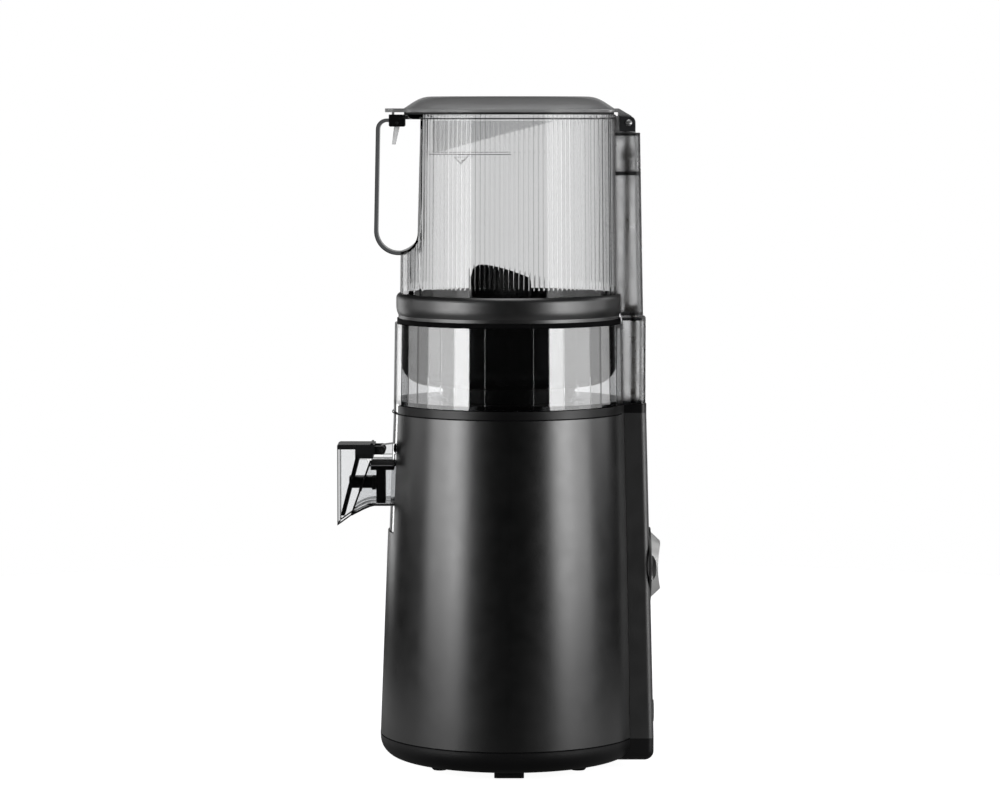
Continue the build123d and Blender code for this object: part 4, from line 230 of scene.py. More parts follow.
# ---- the trim ring and the well ----
# A band moulded from black plastic snaps over the top of the body. It closes the gap round the well, a dish
# of the same plastic that the chamber's bowl drops into.
TRIM_BLACK = (0.004, 0.004, 0.0045)
trim_plastic = moulded("trim_plastic", TRIM_BLACK, roughness=0.36, grain=0.0006, depth=0.000012)
for trim_node in ("trim_ring", "chamber_well"):
    finish_node(trim_node, trim_plastic)

# ---- the silicone parts ----
# Seals, the outlet's seat and the cap's plug are moulded black silicone with a dry, slightly dusty skin. They
# are pressed into grooves or over rims and hold by their own stretch.
SEAL_BLACK = (0.009, 0.009, 0.0095)
DRY_BLACK = (0.005, 0.005, 0.0055)
seal_silicone = moulded("seal_silicone", SEAL_BLACK, roughness=0.6, grain=0.0011, depth=0.00002, mottle=0.2)
dry_silicone = moulded("dry_silicone", DRY_BLACK, roughness=0.75, grain=0.0011, depth=0.00002, ior=1.2)
finish_node("chamber_seal", dry_silicone)
for seal_node in ("shaft_seal", "outlet_seal", "cap_plug", "lid_seal", "cord_gland"):
    finish_node(seal_node, seal_silicone)

# ---- the knob ----
# A turned aluminium knob with a steep flank, a trough milled across its face for the fingers and a small
# dimple at each end of it; satin brushed round its axis, clear anodised and pushed on the switch's stem.
KNOB_SILVER = (0.86, 0.86, 0.85)
KNOB_METALLIC = 0.75
KNOB_MIDDLE_Z = 0.1366
KNOB_FOOT_Y = 0.10215
KNOB_FACE_Y = 0.10925
KNOB_RADIUS = 0.0223
KNOB_FACE_RADIUS = 0.0162
KNOB_BEVEL = 0.0006
TROUGH_RADIUS = 0.062
TROUGH_DEPTH = 0.0021
TROUGH_HALF_LENGTH = 0.03
TROUGH_STEPS = 192
DIMPLE_RADIUS = 0.011
DIMPLE_REACH = 0.0265
DIMPLE_PROFILE = ((1, -0.01), (0.96, 0.0016), (0.8, 0.0034), (0.4, 0.0046))
TURNED_STEPS = 96


def mesh_object(name, corners, faces):
    """A mesh object from its corners and faces, with its normals turned outwards."""
    mesh = bpy.data.meshes.new(name)
    mesh.from_pydata([tuple(c) for c in corners], [], faces)
    form = bmesh.new()
    form.from_mesh(mesh)
    bmesh.ops.recalc_face_normals(form, faces=form.faces)
    form.to_mesh(mesh)
    form.free()
    made = bpy.data.objects.new(name, mesh)
    bpy.context.scene.collection.objects.link(made)
    return made


def lofted(name, rings):
    """A closed solid through rings of equally many corners."""
    count = len(rings[0])
    corners = [corner for ring in rings for corner in ring]
    faces = [tuple(range(count)), tuple((len(rings) - 1) * count + i for i in range(count))]
    for level in range(len(rings) - 1):
        low, high = level * count, (level + 1) * count
        for i in range(count):
            j = (i + 1) % count
            faces.append((low + i, low + j, high + j, high + i))
    return mesh_object(name, corners, faces)


def turned(name, profile, centre):
    """A solid turned about the line through centre along Y, from its profile of (radius, y) points."""
    rings = []
    for radius, y in profile:
        ring = []
        for i in range(TURNED_STEPS):
            angle = 2 * pi * i / TURNED_STEPS
            ring.append((centre[0] + radius * cos(angle), y, centre[1] + radius * sin(angle)))
        rings.append(ring)
    return lofted(name, rings)


def cut(piece, tool, operation="DIFFERENCE"):
    """Adds an exact boolean to a piece."""
    modifier = piece.modifiers.new("cut", "BOOLEAN")
    modifier.operation = operation
    modifier.solver = "EXACT"
    modifier.object = tool


def settle(piece, helpers):
    """Applies all modifiers of a piece and removes the helpers it was cut with."""
    evaluated = piece.evaluated_get(bpy.context.evaluated_depsgraph_get())
    mesh = bpy.data.meshes.new_from_object(evaluated)
    piece.modifiers.clear()
    piece.data = mesh
    for helper in helpers:
        bpy.data.objects.remove(helper)


def smooth_shade(piece, degrees):
    """Smooth shading that keeps edges sharper than some degrees, with the flats kept flat."""
    mesh = piece.data
    mesh.polygons.foreach_set("use_smooth", [True] * len(mesh.polygons))
    form = bmesh.new()
    form.from_mesh(mesh)
    for edge in form.edges:
        edge.smooth = len(edge.link_faces) == 2 and edge.calc_face_angle(0) < radians(degrees)
    form.to_mesh(mesh)
    form.free()
    normals = piece.modifiers.new("flats", "WEIGHTED_NORMAL")
    normals.keep_sharp = True


knob = turned("knob", [
    (KNOB_RADIUS, KNOB_FOOT_Y), (KNOB_RADIUS, KNOB_FOOT_Y + KNOB_BEVEL),
    (KNOB_FACE_RADIUS + KNOB_BEVEL, KNOB_FACE_Y - KNOB_BEVEL),
    (KNOB_FACE_RADIUS, KNOB_FACE_Y - KNOB_BEVEL / 4), (KNOB_FACE_RADIUS - KNOB_BEVEL, KNOB_FACE_Y),
], (0, KNOB_MIDDLE_Z))
trough_y = KNOB_FACE_Y + TROUGH_RADIUS - TROUGH_DEPTH
trough_rings = []
for x in (-TROUGH_HALF_LENGTH, TROUGH_HALF_LENGTH):
    ring = []
    for i in range(TROUGH_STEPS):
        angle = 2 * pi * i / TROUGH_STEPS
        ring.append((x, trough_y + TROUGH_RADIUS * cos(angle), KNOB_MIDDLE_Z + TROUGH_RADIUS * sin(angle)))
    trough_rings.append(ring)
trough = lofted("trough", trough_rings)
cut(knob, trough)
dimples = []
for side in (-1, 1):
    profile = [(DIMPLE_RADIUS * share, KNOB_FOOT_Y + rise) for share, rise in DIMPLE_PROFILE]
    dimple = turned("dimple", profile, (side * DIMPLE_REACH, KNOB_MIDDLE_Z))
    cut(knob, dimple)
    dimples.append(dimple)
settle(knob, [trough, *dimples])
smooth_shade(knob, degrees=25)
knob_metal = metal("knob_metal", KNOB_SILVER, roughness=0.42, line=0.00035, stretch=(1, 30, 1))
knob_metal.node_tree.nodes["Principled BSDF"].inputs["Metallic"].default_value = KNOB_METALLIC
knob.data.materials.append(knob_metal)
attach(knob, "knob")
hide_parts("selector_knob")

# ---- the ring round the knob ----
# A flat plastic washer sprayed with the same coat as the spine. It is pressed on the spine's back round the
# knob, and its rims are broken.
RING_RADIUS = 0.0256
RING_BORE = 0.0227
RING_FOOT_Y = 0.1009
RING_FACE_Y = 0.1025
RING_BEVEL = 0.0003
DRILL_SPARE = 0.01
washer = turned("washer", [
    (RING_RADIUS - RING_BEVEL, RING_FOOT_Y), (RING_RADIUS, RING_FOOT_Y + RING_BEVEL),
    (RING_RADIUS, RING_FACE_Y - RING_BEVEL), (RING_RADIUS - RING_BEVEL, RING_FACE_Y),
], (0, KNOB_MIDDLE_Z))
washer_hole = turned("washer_hole", [
    (RING_BORE, RING_FOOT_Y - DRILL_SPARE), (RING_BORE, RING_FACE_Y + DRILL_SPARE),
], (0, KNOB_MIDDLE_Z))
cut(washer, washer_hole)
settle(washer, [washer_hole])
smooth_shade(washer, degrees=30)
washer.data.materials.append(spine_coat)
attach(washer, "base")
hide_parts("knob_ring")

# ---- the painted shadow lines at the parting lines ----
# Thin black bands of the matt silicone finish stand on the lines where the body meets its pan below and its
# trim ring above, as painted shade for the shadow gaps there. Both stop short of the spine, gap being half the
# angle that it takes.
LOWER_LINE_Z = 0.0220
LOWER_GAP = 0.37
UPPER_LINE_Z = 0.2416
UPPER_GAP = 0.3
SHADOW_LINE_HALF = 0.0005
SHADOW_LINE_EDGE = 0.0001
SHADOW_LINE_PROUD = 0.00012
SHADOW_LINE_STEPS = 160
shaft_low, shaft_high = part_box("drive_shaft")
axis_y = (shaft_low.y + shaft_high.y) / 2


def shadow_band(name, radius, middle_z, gap):
    """A thin black band round the body, a painted shadow line, open at the back where the spine stands."""
    foot_z, top_z = middle_z - SHADOW_LINE_HALF, middle_z + SHADOW_LINE_HALF
    section = [
        (-SHADOW_LINE_PROUD, foot_z), (SHADOW_LINE_PROUD, foot_z + SHADOW_LINE_EDGE),
        (SHADOW_LINE_PROUD, top_z - SHADOW_LINE_EDGE), (-SHADOW_LINE_PROUD, top_z),
    ]
    corners = []
    faces = []
    for i in range(SHADOW_LINE_STEPS + 1):
        angle = pi / 2 + gap + (2 * pi - 2 * gap) * i / SHADOW_LINE_STEPS
        for step, z in section:
            corners.append(((radius + step) * cos(angle), axis_y + (radius + step) * sin(angle), z))
    for i in range(SHADOW_LINE_STEPS):
        for k in range(4):
            j = (k + 1) % 4
            faces.append((4 * i + k, 4 * i + j, 4 * i + 4 + j, 4 * i + 4 + k))
    faces.append((0, 1, 2, 3))
    faces.append(tuple(4 * SHADOW_LINE_STEPS + k for k in range(4)))
    return mesh_object(name, corners, faces)


body_low, body_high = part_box("body_shell")
foot_radius = (body_high.x - body_low.x) / 2
trim_low, trim_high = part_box("trim_ring")
top_radius = (trim_high.x - trim_low.x) / 2
lower_shadow_line = shadow_band("lower_shadow_line", foot_radius, LOWER_LINE_Z, LOWER_GAP)
upper_shadow_line = shadow_band("upper_shadow_line", top_radius, UPPER_LINE_Z, UPPER_GAP)
# Both bands are painted shade, drawn in the matt black silicone.
for shadow_line in (lower_shadow_line, upper_shadow_line):
    shadow_line.data.materials.append(dry_silicone)
    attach(shadow_line, "base")

# ---- the chamber ----
# One clear copolyester moulding: a fluted band, the bowl below it and the apron with its two ducts in front.
# Polished, with a cool grey cast in the thick edges; both spouts and the cap's cover are moulded to match.
CLEAR_TINT = (0.97, 0.975, 0.98)
SMOKE_COLOUR = (0.5, 0.505, 0.51, 1)
CENTIMETRE = 0.01
TINT_SHADE = 0.985
TINT_SIZE = 0.03
HAZE_SIZE = 0.01
HAZE_CHANGE = 0.4


def resin(name, absorbed, haze, tint=(1.0, 1.0, 1.0), ior=1.52):
    """Clear or smoked plastic: absorbed is the share of light lost in a centimetre of it.

    The smoke's colour lets half through, so that only half of its density counts, and it is doubled here.
    """
    made, tree, shader = blank_material(name)
    shader.inputs["Transmission Weight"].default_value = 1.0
    shader.inputs["IOR"].default_value = ior
    cloud = noise(tree, TINT_SIZE)
    dull = [c * TINT_SHADE for c in tint]
    tree.links.new(blend_colour(tree, spread(tree, cloud, 0, 1), dull, tint), shader.inputs["Base Color"])
    mist = noise(tree, HAZE_SIZE, detail=3.0)
    rough = spread(tree, mist, haze * (1 - HAZE_CHANGE), haze * (1 + HAZE_CHANGE))
    tree.links.new(rough, shader.inputs["Roughness"])
    smoke = tree.nodes.new("ShaderNodeVolumeAbsorption")
    smoke.inputs["Color"].default_value = SMOKE_COLOUR
    smoke.inputs["Density"].default_value = -2 * log(1 - absorbed) / CENTIMETRE
    tree.links.new(smoke.outputs["Volume"], tree.nodes["Material Output"].inputs["Volume"])
    return made


band_resin = resin("band_resin", absorbed=0.4, haze=0.02, tint=CLEAR_TINT, ior=2.1)
finish_node("juice_chamber", band_resin)
clear_resin = resin("clear_resin", absorbed=0.12, haze=0.02, tint=CLEAR_TINT, ior=1.5)
for clear_node in ("juice_spout", "pulp_spout", "cap_cover"):
    finish_node(clear_node, clear_resin)

# ---- the dark beads of the spout ----
# Black silicone moulded on the juice spout: a bead round its mouth, with a thicker stretch on the near side,
# a bead under each side of its floor and a strip over its roof.
SPOUT_FAR_X = 0.0032
SPOUT_NEAR_X = 0.0248
MOUTH_TOP = (-0.0880, 0.2078)
MOUTH_FOOT = (-0.1003, 0.1734)
FLOOR_LINE = (
    (-0.0716, 0.1802), (-0.0843, 0.1802), (-0.0880, 0.1793), (-0.0920, 0.1776), (-0.0960, 0.1756), MOUTH_FOOT,
)
BEAD_RADIUS = 0.0006
FLOOR_BEAD_RADIUS = 0.00069
THICK_BEAD_RADIUS = 0.00108
THICK_SHARES = (0.42, 0.53)
ROOF_ENDS = (-0.0872, -0.0712)
ROOF_PROUD = 0.0005
ROOF_FOOT_Z = 0.2070
ROOF_EDGE_Z = 0.2086
ROOF_TOP_Z = 0.2090


def bead(name, points, radius, material, body, closed=False):
    """A round bead along a line, as a mesh that rides on a body."""
    curve = bpy.data.curves.new(name, "CURVE")
    curve.dimensions = "3D"
    curve.bevel_depth = radius
    curve.bevel_resolution = 3
    curve.use_fill_caps = not closed
    line = curve.splines.new("POLY")
    line.points.add(len(points) - 1)
    for corner, place in zip(line.points, points):
        corner.co = (*place, 1)
    line.use_cyclic_u = closed
    drawn = bpy.data.objects.new(name + "_line", curve)
    bpy.context.scene.collection.objects.link(drawn)
    made = bpy.data.objects.new(name, bpy.data.meshes.new_from_object(drawn))
    bpy.data.objects.remove(drawn)
    bpy.context.scene.collection.objects.link(made)
    made.data.materials.clear()
    made.data.materials.append(material)
    made.data.polygons.foreach_set("use_smooth", [True] * len(made.data.polygons))
    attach(made, body)
    return made


mouth_corners = [
    (SPOUT_FAR_X, *MOUTH_TOP), (SPOUT_FAR_X, *MOUTH_FOOT),
    (SPOUT_NEAR_X, *MOUTH_FOOT), (SPOUT_NEAR_X, *MOUTH_TOP),
]
mouth_bead = bead("mouth_bead", mouth_corners, BEAD_RADIUS, seal_silicone, "chamber", True)
for name, x in (("floor_bead_far", SPOUT_FAR_X), ("floor_bead_near", SPOUT_NEAR_X)):
    floor_bead = bead(name, [(x, *spot) for spot in FLOOR_LINE], FLOOR_BEAD_RADIUS, seal_silicone, "chamber")
roof_rings = []
for y in ROOF_ENDS:
    roof_rings.append([
        (SPOUT_FAR_X - ROOF_PROUD, y, ROOF_FOOT_Z), (SPOUT_NEAR_X + ROOF_PROUD, y, ROOF_FOOT_Z),
        (SPOUT_NEAR_X + ROOF_PROUD, y, ROOF_EDGE_Z), (SPOUT_NEAR_X, y, ROOF_TOP_Z),
        (SPOUT_FAR_X, y, ROOF_TOP_Z), (SPOUT_FAR_X - ROOF_PROUD, y, ROOF_EDGE_Z),
    ])
roof_strip = lofted("roof_strip", roof_rings)
roof_strip.data.materials.append(seal_silicone)
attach(roof_strip, "chamber")
thick_line = []
for share in THICK_SHARES:
    y, z = (top + (foot - top) * share for top, foot in zip(MOUTH_TOP, MOUTH_FOOT))
    thick_line.append((SPOUT_NEAR_X, y, z))
mouth_node = bead("mouth_node", thick_line, THICK_BEAD_RADIUS, seal_silicone, "chamber")

# ---- the lobe behind the chamber ----
# A hollow lobe of smoked copolyester, with the matt skin of a textured mould, bonded to the chamber's back.
# It guides the pin that passes the lid's push on to the switch.
SMOKE_ABSORBED = 0.72
smoked_resin = resin("smoked_resin", absorbed=SMOKE_ABSORBED, haze=0.3)
finish_node("chamber_lobe", smoked_resin)

# ---- the strainer, the funnel and the auger ----
# The pressing parts are black filled resin, dull from the mould, with a light polish where they rub. The
# funnel and the strainer drop into the chamber, and the auger stands in them on its steel socket.
PRESS_BLACK = (0.004, 0.004, 0.0045)
pressing_resin = moulded("pressing_resin", PRESS_BLACK, roughness=0.4, grain=0.0008, depth=0.00002, mottle=0.2)
for press_node in ("strainer", "feed_funnel", "auger"):
    finish_node(press_node, pressing_resin)

# ---- the slicing wing ----
# A sickle of the same black resin on a low domed hub, keyed on top of the auger. Its blade thins towards the
# tip, and its crest rises to it and is rounded over.
WING_FOOT_Z = 0.309
WING_REACH = 0.0595
WING_HEEL = 0.008
WING_BOW = 0.025
WING_TURN = radians(64)
WING_ROOT_HALF = 0.0021
WING_TIP_HALF = 0.0011
WING_SHARES = (
    0, 0.08, 0.16, 0.25, 0.33, 0.42, 0.5, 0.58, 0.67, 0.75, 0.82, 0.88, 0.92, 0.95, 0.97, 0.985, 0.995, 1.0,
)
WING_CREST = (
    (0.0, 0.3275), (0.3, 0.3315), (0.6, 0.3365), (0.85, 0.3425), (0.94, 0.3440), (0.985, 0.3405), (1.0, 0.3330),
)
WING_ROUNDING = ((1, 0.003), (0.75, 0.001), (0.3, 0.0), (-0.3, 0.0), (-0.75, 0.001), (-1, 0.003))
HUB_RADIUS = 0.0149
HUB_FOOT_Z = 0.316
HUB_PLAY = 0.0001
HUB_DOME = (
    (HUB_RADIUS, HUB_FOOT_Z + HUB_PLAY), (0.0141, 0.3205), (0.0127, 0.3222), (0.006, 0.3246), (0.0015, 0.325),
)
HUB_STEPS = 72
BORE_FOOT_Z = 0.300


def axis_ring(radius, z, steps):
    """A round ring of corners about the drive's axis at a height."""
    angles = [2 * pi * i / steps for i in range(steps)]
    return [(radius * cos(angle), axis_y + radius * sin(angle), z) for angle in angles]


def between(table, where):
    """The value at a place of a table of (place, value) rows."""
    for (low, first), (high, second) in zip(table, table[1:]):
        if where <= high:
            return first + (second - first) * (where - low) / (high - low)
    return table[-1][1]


def about_hub(plan):
    """A place or a direction in plan, turned round the hub to where the wing stands."""
    right, ahead = cos(WING_TURN), sin(WING_TURN)
    return Vector((plan.x * right - plan.y * ahead, plan.x * ahead + plan.y * right))


def wing_line(share):
    """A point of the blade's plan and the direction across it, at a share of its length."""
    along = WING_HEEL - share * (WING_HEEL + WING_REACH)
    bulge = 1 - (2 * share - 1) ** 2
    slope = -4 * WING_BOW * (2 * share - 1) / (WING_HEEL + WING_REACH)
    return about_hub(Vector((WING_BOW * bulge, along))), about_hub(Vector((1, slope)).normalized())


wing_rings = []
for share in WING_SHARES:
    place, across = wing_line(share)
    half = WING_ROOT_HALF + (WING_TIP_HALF - WING_ROOT_HALF) * share
    top = between(WING_CREST, share)
    ring = []
    for side, z in ((-1, WING_FOOT_Z), (1, WING_FOOT_Z), *((side, top - drop) for side, drop in WING_ROUNDING)):
        spot = place + across * side * half
        ring.append((spot.x, axis_y + spot.y, z))
    wing_rings.append(ring)
wing = lofted("wing", wing_rings)
hub = lofted("hub", [axis_ring(radius, z, HUB_STEPS) for radius, z in HUB_DOME])
bore = lofted("bore", [axis_ring(HUB_RADIUS + HUB_PLAY, z, HUB_STEPS) for z in (BORE_FOOT_Z, HUB_FOOT_Z)])
cut(wing, bore)
cut(wing, hub, "UNION")
settle(wing, (hub, bore))
smooth_shade(wing, degrees=35)
wing.data.materials.append(pressing_resin)
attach(wing, "screw")
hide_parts("slicing_wing")

# ---- the drip-stop cap ----
# A black glossy lever under a clear cover: pressing its plate swings the plug off the outlet's seat.
# The cover's lower edge carries a black lip of silicone that keeps the juice from creeping round it.
LEVER_BLACK = (0.03, 0.03, 0.031)
LIP_INSET = 0.0006
LIP_RISE = 0.0009
LIP_GAP = 0.0004
LIP_RADIUS = 0.0005
lever_plastic = moulded("lever_plastic", LEVER_BLACK, roughness=0.26, grain=0.002, depth=0.000003, mottle=0.1)
finish_node("cap_lever", lever_plastic)
cover_low, cover_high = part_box("cap_cover")
lip_back = (MOUTH_FOOT[0] - LIP_GAP, MOUTH_FOOT[1])
lip_tip = (cover_low.y + LIP_INSET, cover_low.z + LIP_RISE)
lip_far_x, lip_near_x = cover_low.x + LIP_INSET, cover_high.x - LIP_INSET
lip_line = [(lip_far_x, *lip_back), (lip_far_x, *lip_tip), (lip_near_x, *lip_tip), (lip_near_x, *lip_back)]
cover_lip = bead("cover_lip", lip_line, LIP_RADIUS, seal_silicone, "drip_cap")

# ---- the collar ----
# A ring moulded from black plastic with a semi-gloss skin. It is pressed on the hopper's foot, and the
# bayonet inside it joins the hopper to the chamber.
COLLAR_BLACK = (0.013, 0.013, 0.0135)
collar_plastic = moulded(
    "collar_plastic", COLLAR_BLACK, roughness=0.37, grain=0.0007, depth=0.000015, ior=2.25,
)
finish_node("collar_ring", collar_plastic)

# ---- the hopper ----
# A hopper moulded in smoked copolyester, with forty-five flutes outside and three fine ribs behind each flute
# inside, which end in small rounded feet above the collar. Its front is flattened behind the handle, and its
# foot is pressed into the collar.
FLUTES = 45
RIBS_PER_FLUTE = 3
HOPPER_WALL = 0.0025
HOPPER_FOOT_RADIUS = 0.0739
HOPPER_TOP_RADIUS = 0.0724
FLUTE_EDGE = 0.0004
RIB_HALF_WIDTH = 0.0006
RIB_HEIGHT = 0.0004
RIB_LEAST = 0.02
RIB_SECTION = ((-1.0, 0.0), (-0.55, 0.7), (0.0, 1.0), (0.55, 0.7), (1.0, 0.0))
RIB_FOOT_RISE = 0.0045
RIB_ROUND_RISE = 0.0008
RIB_ROUND_SHARE = 0.7
RIB_FULL_RISE = 0.002
RIM_HEIGHT = 0.0032
RIM_RADIUS = 0.0723
RIM_ROUND = 0.0006
RIM_LOWER_INSET = 0.0003
RIM_UPPER_INSET = 0.0005
RIM_STEPS = 180
GAP_RADIUS = 0.0140
GAP_CENTRE_REACH = 0.0750
GAP_CENTRE_RISE = 0.0591
RECESS_LEAN = 0.0026
RECESS_HALF_WIDTH = 0.1
RECESS_STEPS = 20
GAP_SPARE = 0.02
ROOM_SPARE = 0.002
ROOM_GAP_SPARE = 0.01
HOPPER_ABSORBED = 0.55
hopper_low, hopper_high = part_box("hopper_shell")
collar_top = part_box("collar_ring")[1].z
rim_foot = hopper_high.z - RIM_HEIGHT


def hopper_radius(z):
    """The hopper's radius across flats at a height."""
    rise = (z - hopper_low.z) / (rim_foot - hopper_low.z)
    return HOPPER_FOOT_RADIUS + (HOPPER_TOP_RADIUS - HOPPER_FOOT_RADIUS) * rise


def flat_point(flute, radius, along, z):
    """A point on a flute's flat: radius out from the drive axis and along to its side."""
    angle = 2 * pi * flute / FLUTES
    return (radius * cos(angle) - along * sin(angle), axis_y + radius * sin(angle) + along * cos(angle), z)


def outer_ring(z):
    """The outside of the hopper at a height, with each corner between two flutes broken."""
    radius = hopper_radius(z)
    half = radius * tan(pi / FLUTES) - FLUTE_EDGE
    return [flat_point(flute, radius, side * half, z) for flute in range(FLUTES) for side in (-1, 1)]


def inner_ring(z, rib):
    """The inside of the hopper at a height, where the ribs stand at a share of their full height."""
    radius = hopper_radius(z) - HOPPER_WALL
    half = radius * tan(pi / FLUTES)
    ring = []
    for flute in range(FLUTES):
        ring.append(flat_point(flute, radius, -half, z))
        for i in range(RIBS_PER_FLUTE):
            middle = (2 * i + 1 - RIBS_PER_FLUTE) / RIBS_PER_FLUTE * half
            for across, up in RIB_SECTION:
                height = max(rib, RIB_LEAST) * up * RIB_HEIGHT
                ring.append(flat_point(flute, radius - height, middle + across * RIB_HALF_WIDTH, z))
    return ring


def recess_block(name, grow, top):
    """The space behind the handle as a solid: a leaning flat with a round bottom."""
    reach = -GAP_CENTRE_REACH + GAP_RADIUS + grow
    centre_z = hopper_low.z + GAP_CENTRE_RISE
    far = -2 * HOPPER_FOOT_RADIUS
    outline = [(far, top), (reach + RECESS_LEAN, top), (reach, centre_z)]
    radius = GAP_RADIUS + grow
    for i in range(1, RECESS_STEPS):
        turn = -pi / 2 * i / RECESS_STEPS
        outline.append((-GAP_CENTRE_REACH + radius * cos(turn), centre_z + radius * sin(turn)))
    outline += [(-GAP_CENTRE_REACH, centre_z - radius), (far, centre_z - radius)]
    rings = [[(x, axis_y + y, z) for y, z in outline] for x in (-RECESS_HALF_WIDTH, RECESS_HALF_WIDTH)]
    return lofted(name, rings)


rib_foot = collar_top + RIB_FOOT_RISE
hopper = lofted("hopper_wall", [outer_ring(hopper_low.z), outer_ring(rim_foot)])
gap = recess_block("gap", 0, rim_foot + GAP_SPARE)
rim_rings = []
for inset, z in (
    (RIM_LOWER_INSET, rim_foot), (0, rim_foot + RIM_ROUND),
    (0, hopper_high.z - RIM_ROUND), (RIM_UPPER_INSET, hopper_high.z),
):
    rim_rings.append(axis_ring(RIM_RADIUS - inset, z, RIM_STEPS))
rim = lofted("rim", rim_rings)
room_rings = []
for z, rib in (
    (hopper_low.z - ROOM_SPARE, 0), (rib_foot, 0), (rib_foot + RIB_ROUND_RISE, RIB_ROUND_SHARE),
    (rib_foot + RIB_FULL_RISE, 1), (rim_foot, 1), (hopper_high.z + ROOM_SPARE, 1),
):
    room_rings.append(inner_ring(z, rib))
room = lofted("room", room_rings)
room_gap = recess_block("room_gap", HOPPER_WALL, hopper_high.z + ROOM_GAP_SPARE)
cut(room, room_gap)
cut(hopper, gap)
cut(hopper, rim, "UNION")
cut(hopper, room)
settle(hopper, (gap, rim, room, room_gap))
smooth_shade(hopper, degrees=40)
hopper_resin = resin("hopper_resin", absorbed=HOPPER_ABSORBED, haze=0.02, ior=1.32)
hopper.data.materials.append(hopper_resin)
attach(hopper, "hopper")
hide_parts("hopper_shell")

# ---- the filling mark ----
# A fine line and a pointer show how far the hopper may be filled. They are thin threads of darker resin
# moulded on the flutes of both sides. Degrees count from the middle of a side towards the back.
MARK_Z = 0.4165
MARK_WIDTH = 0.00022
MARK_PROUD = 0.00005
MARK_FIRST = -47
MARK_SPAN = 48
MARK_STEPS = 24
POINTER_ANGLE = radians(-26)
POINTER_HALF = 0.0048
POINTER_TOP_Z = 0.4147
POINTER_DROP = 0.0042
POINTER_WIDTH = 0.00033
MARK_TINT = (0.2, 0.2, 0.2)
mark_resin = resin("mark_resin", absorbed=0.9, haze=0.2, tint=MARK_TINT)
mark_reach = hopper_radius(MARK_Z) + MARK_PROUD
for mark_name, pointer_name, side in (("mark_far", "pointer_far", -1), ("mark_near", "pointer_near", 1)):
    line = []
    for i in range(MARK_STEPS + 1):
        angle = radians(MARK_FIRST + MARK_SPAN * i / MARK_STEPS)
        line.append((side * mark_reach * cos(angle), axis_y + mark_reach * sin(angle), MARK_Z))
    mark = bead(mark_name, line, MARK_WIDTH, mark_resin, "hopper")
    middle_y = axis_y + mark_reach * sin(POINTER_ANGLE)
    middle = Vector((side * mark_reach * cos(POINTER_ANGLE), middle_y, POINTER_TOP_Z))
    across = Vector((-side * sin(POINTER_ANGLE), cos(POINTER_ANGLE), 0)) * POINTER_HALF
    corners = [middle - across, middle + across, middle - Vector((0, 0, POINTER_DROP))]
    pointer = bead(pointer_name, corners, POINTER_WIDTH, mark_resin, "hopper", True)

# ---- the painted shade in the hopper's top ----
# A thin sheet of dark smoked resin on each side, bent to the hopper's wall just inside its top: painted shade
# that darkens the top of the hopper. The lower edge rises from the handle to the back, where the sheet ends in
# a tip.
SHADE_SHEET_THICKNESS = 0.0012
SHADE_SHEET_CLEARANCE = 0.0006
SHADE_SHEET_FIRST = radians(-46)
SHADE_SHEET_LAST = radians(24)
SHADE_SHEET_STEPS = 35
SHADE_SHEET_LOW_Z = 0.4175
SHADE_SHEET_TOP_Z = 0.4385
SHADE_SHEET_TIP = 0.0004
# The sheet's dark smoke is painted shade over the hopper's top.
shade_sheet_resin = resin("shade_sheet_resin", absorbed=0.85, haze=0.03, ior=1.3)
for name, side in (("shade_sheet_far", -1), ("shade_sheet_near", 1)):
    rings = []
    for i in range(SHADE_SHEET_STEPS + 1):
        angle = SHADE_SHEET_FIRST + (SHADE_SHEET_LAST - SHADE_SHEET_FIRST) * i / SHADE_SHEET_STEPS
        edge_share = (sin(angle) - sin(SHADE_SHEET_FIRST)) / (sin(SHADE_SHEET_LAST) - sin(SHADE_SHEET_FIRST))
        low_z = SHADE_SHEET_LOW_Z + (SHADE_SHEET_TOP_Z - SHADE_SHEET_TIP - SHADE_SHEET_LOW_Z) * edge_share
        ring = []
        for step, z in ((0, low_z), (SHADE_SHEET_THICKNESS, low_z), (SHADE_SHEET_THICKNESS, SHADE_SHEET_TOP_Z), (0, SHADE_SHEET_TOP_Z)):
            reach = hopper_radius(z) - HOPPER_WALL - RIB_HEIGHT - SHADE_SHEET_CLEARANCE - step
            ring.append((side * reach * cos(angle), axis_y + reach * sin(angle), z))
        rings.append(ring)
    shade_sheet = lofted(name, rings)
    smooth_shade(shade_sheet, degrees=40)
    shade_sheet.data.materials.append(shade_sheet_resin)
    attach(shade_sheet, "hopper")

# ---- the spine behind the hopper ----
# A channel of smoked resin with a matt skin, bonded to the hopper's back. The hinge's ears stand at its top
# and the interlock rod runs in it.
spine_resin = resin("spine_resin", absorbed=SMOKE_ABSORBED, haze=0.42, ior=1.42)
finish_node("hopper_spine", spine_resin)

# ---- the cheeks and heads of the hinge ----
# Dark moulded plates outside the ears take the load of the lid. The steel pin passes through them, and its
# two ends are riveted over into bright heads.
CHEEK_DARK = (0.055, 0.055, 0.058)
CHEEK_THICKNESS = 0.0008
CHEEK_ROUND = 0.0044
CHEEK_ROUND_STEPS = 8
CHEEK_FRONT = 0.0062
CHEEK_DROP = 0.0058
CHEEK_RINGS = ((0, 0), (0.00056, 0), (CHEEK_THICKNESS, 0.00024))
CHEEK_CENTRE_SHIFT = 0.001
HEAD_SILVER = (0.9, 0.9, 0.9)
HEAD_RADIUS = 0.0023
HEAD_STEPS = 40
HEAD_DOME = ((1, 0), (0.95, 0.0004), (0.8, 0.0008), (0.5, 0.0011), (0.15, 0.0012))
pin_low, pin_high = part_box("hinge_pin")
pin_y = (pin_low.y + pin_high.y) / 2
pin_z = (pin_low.z + pin_high.z) / 2
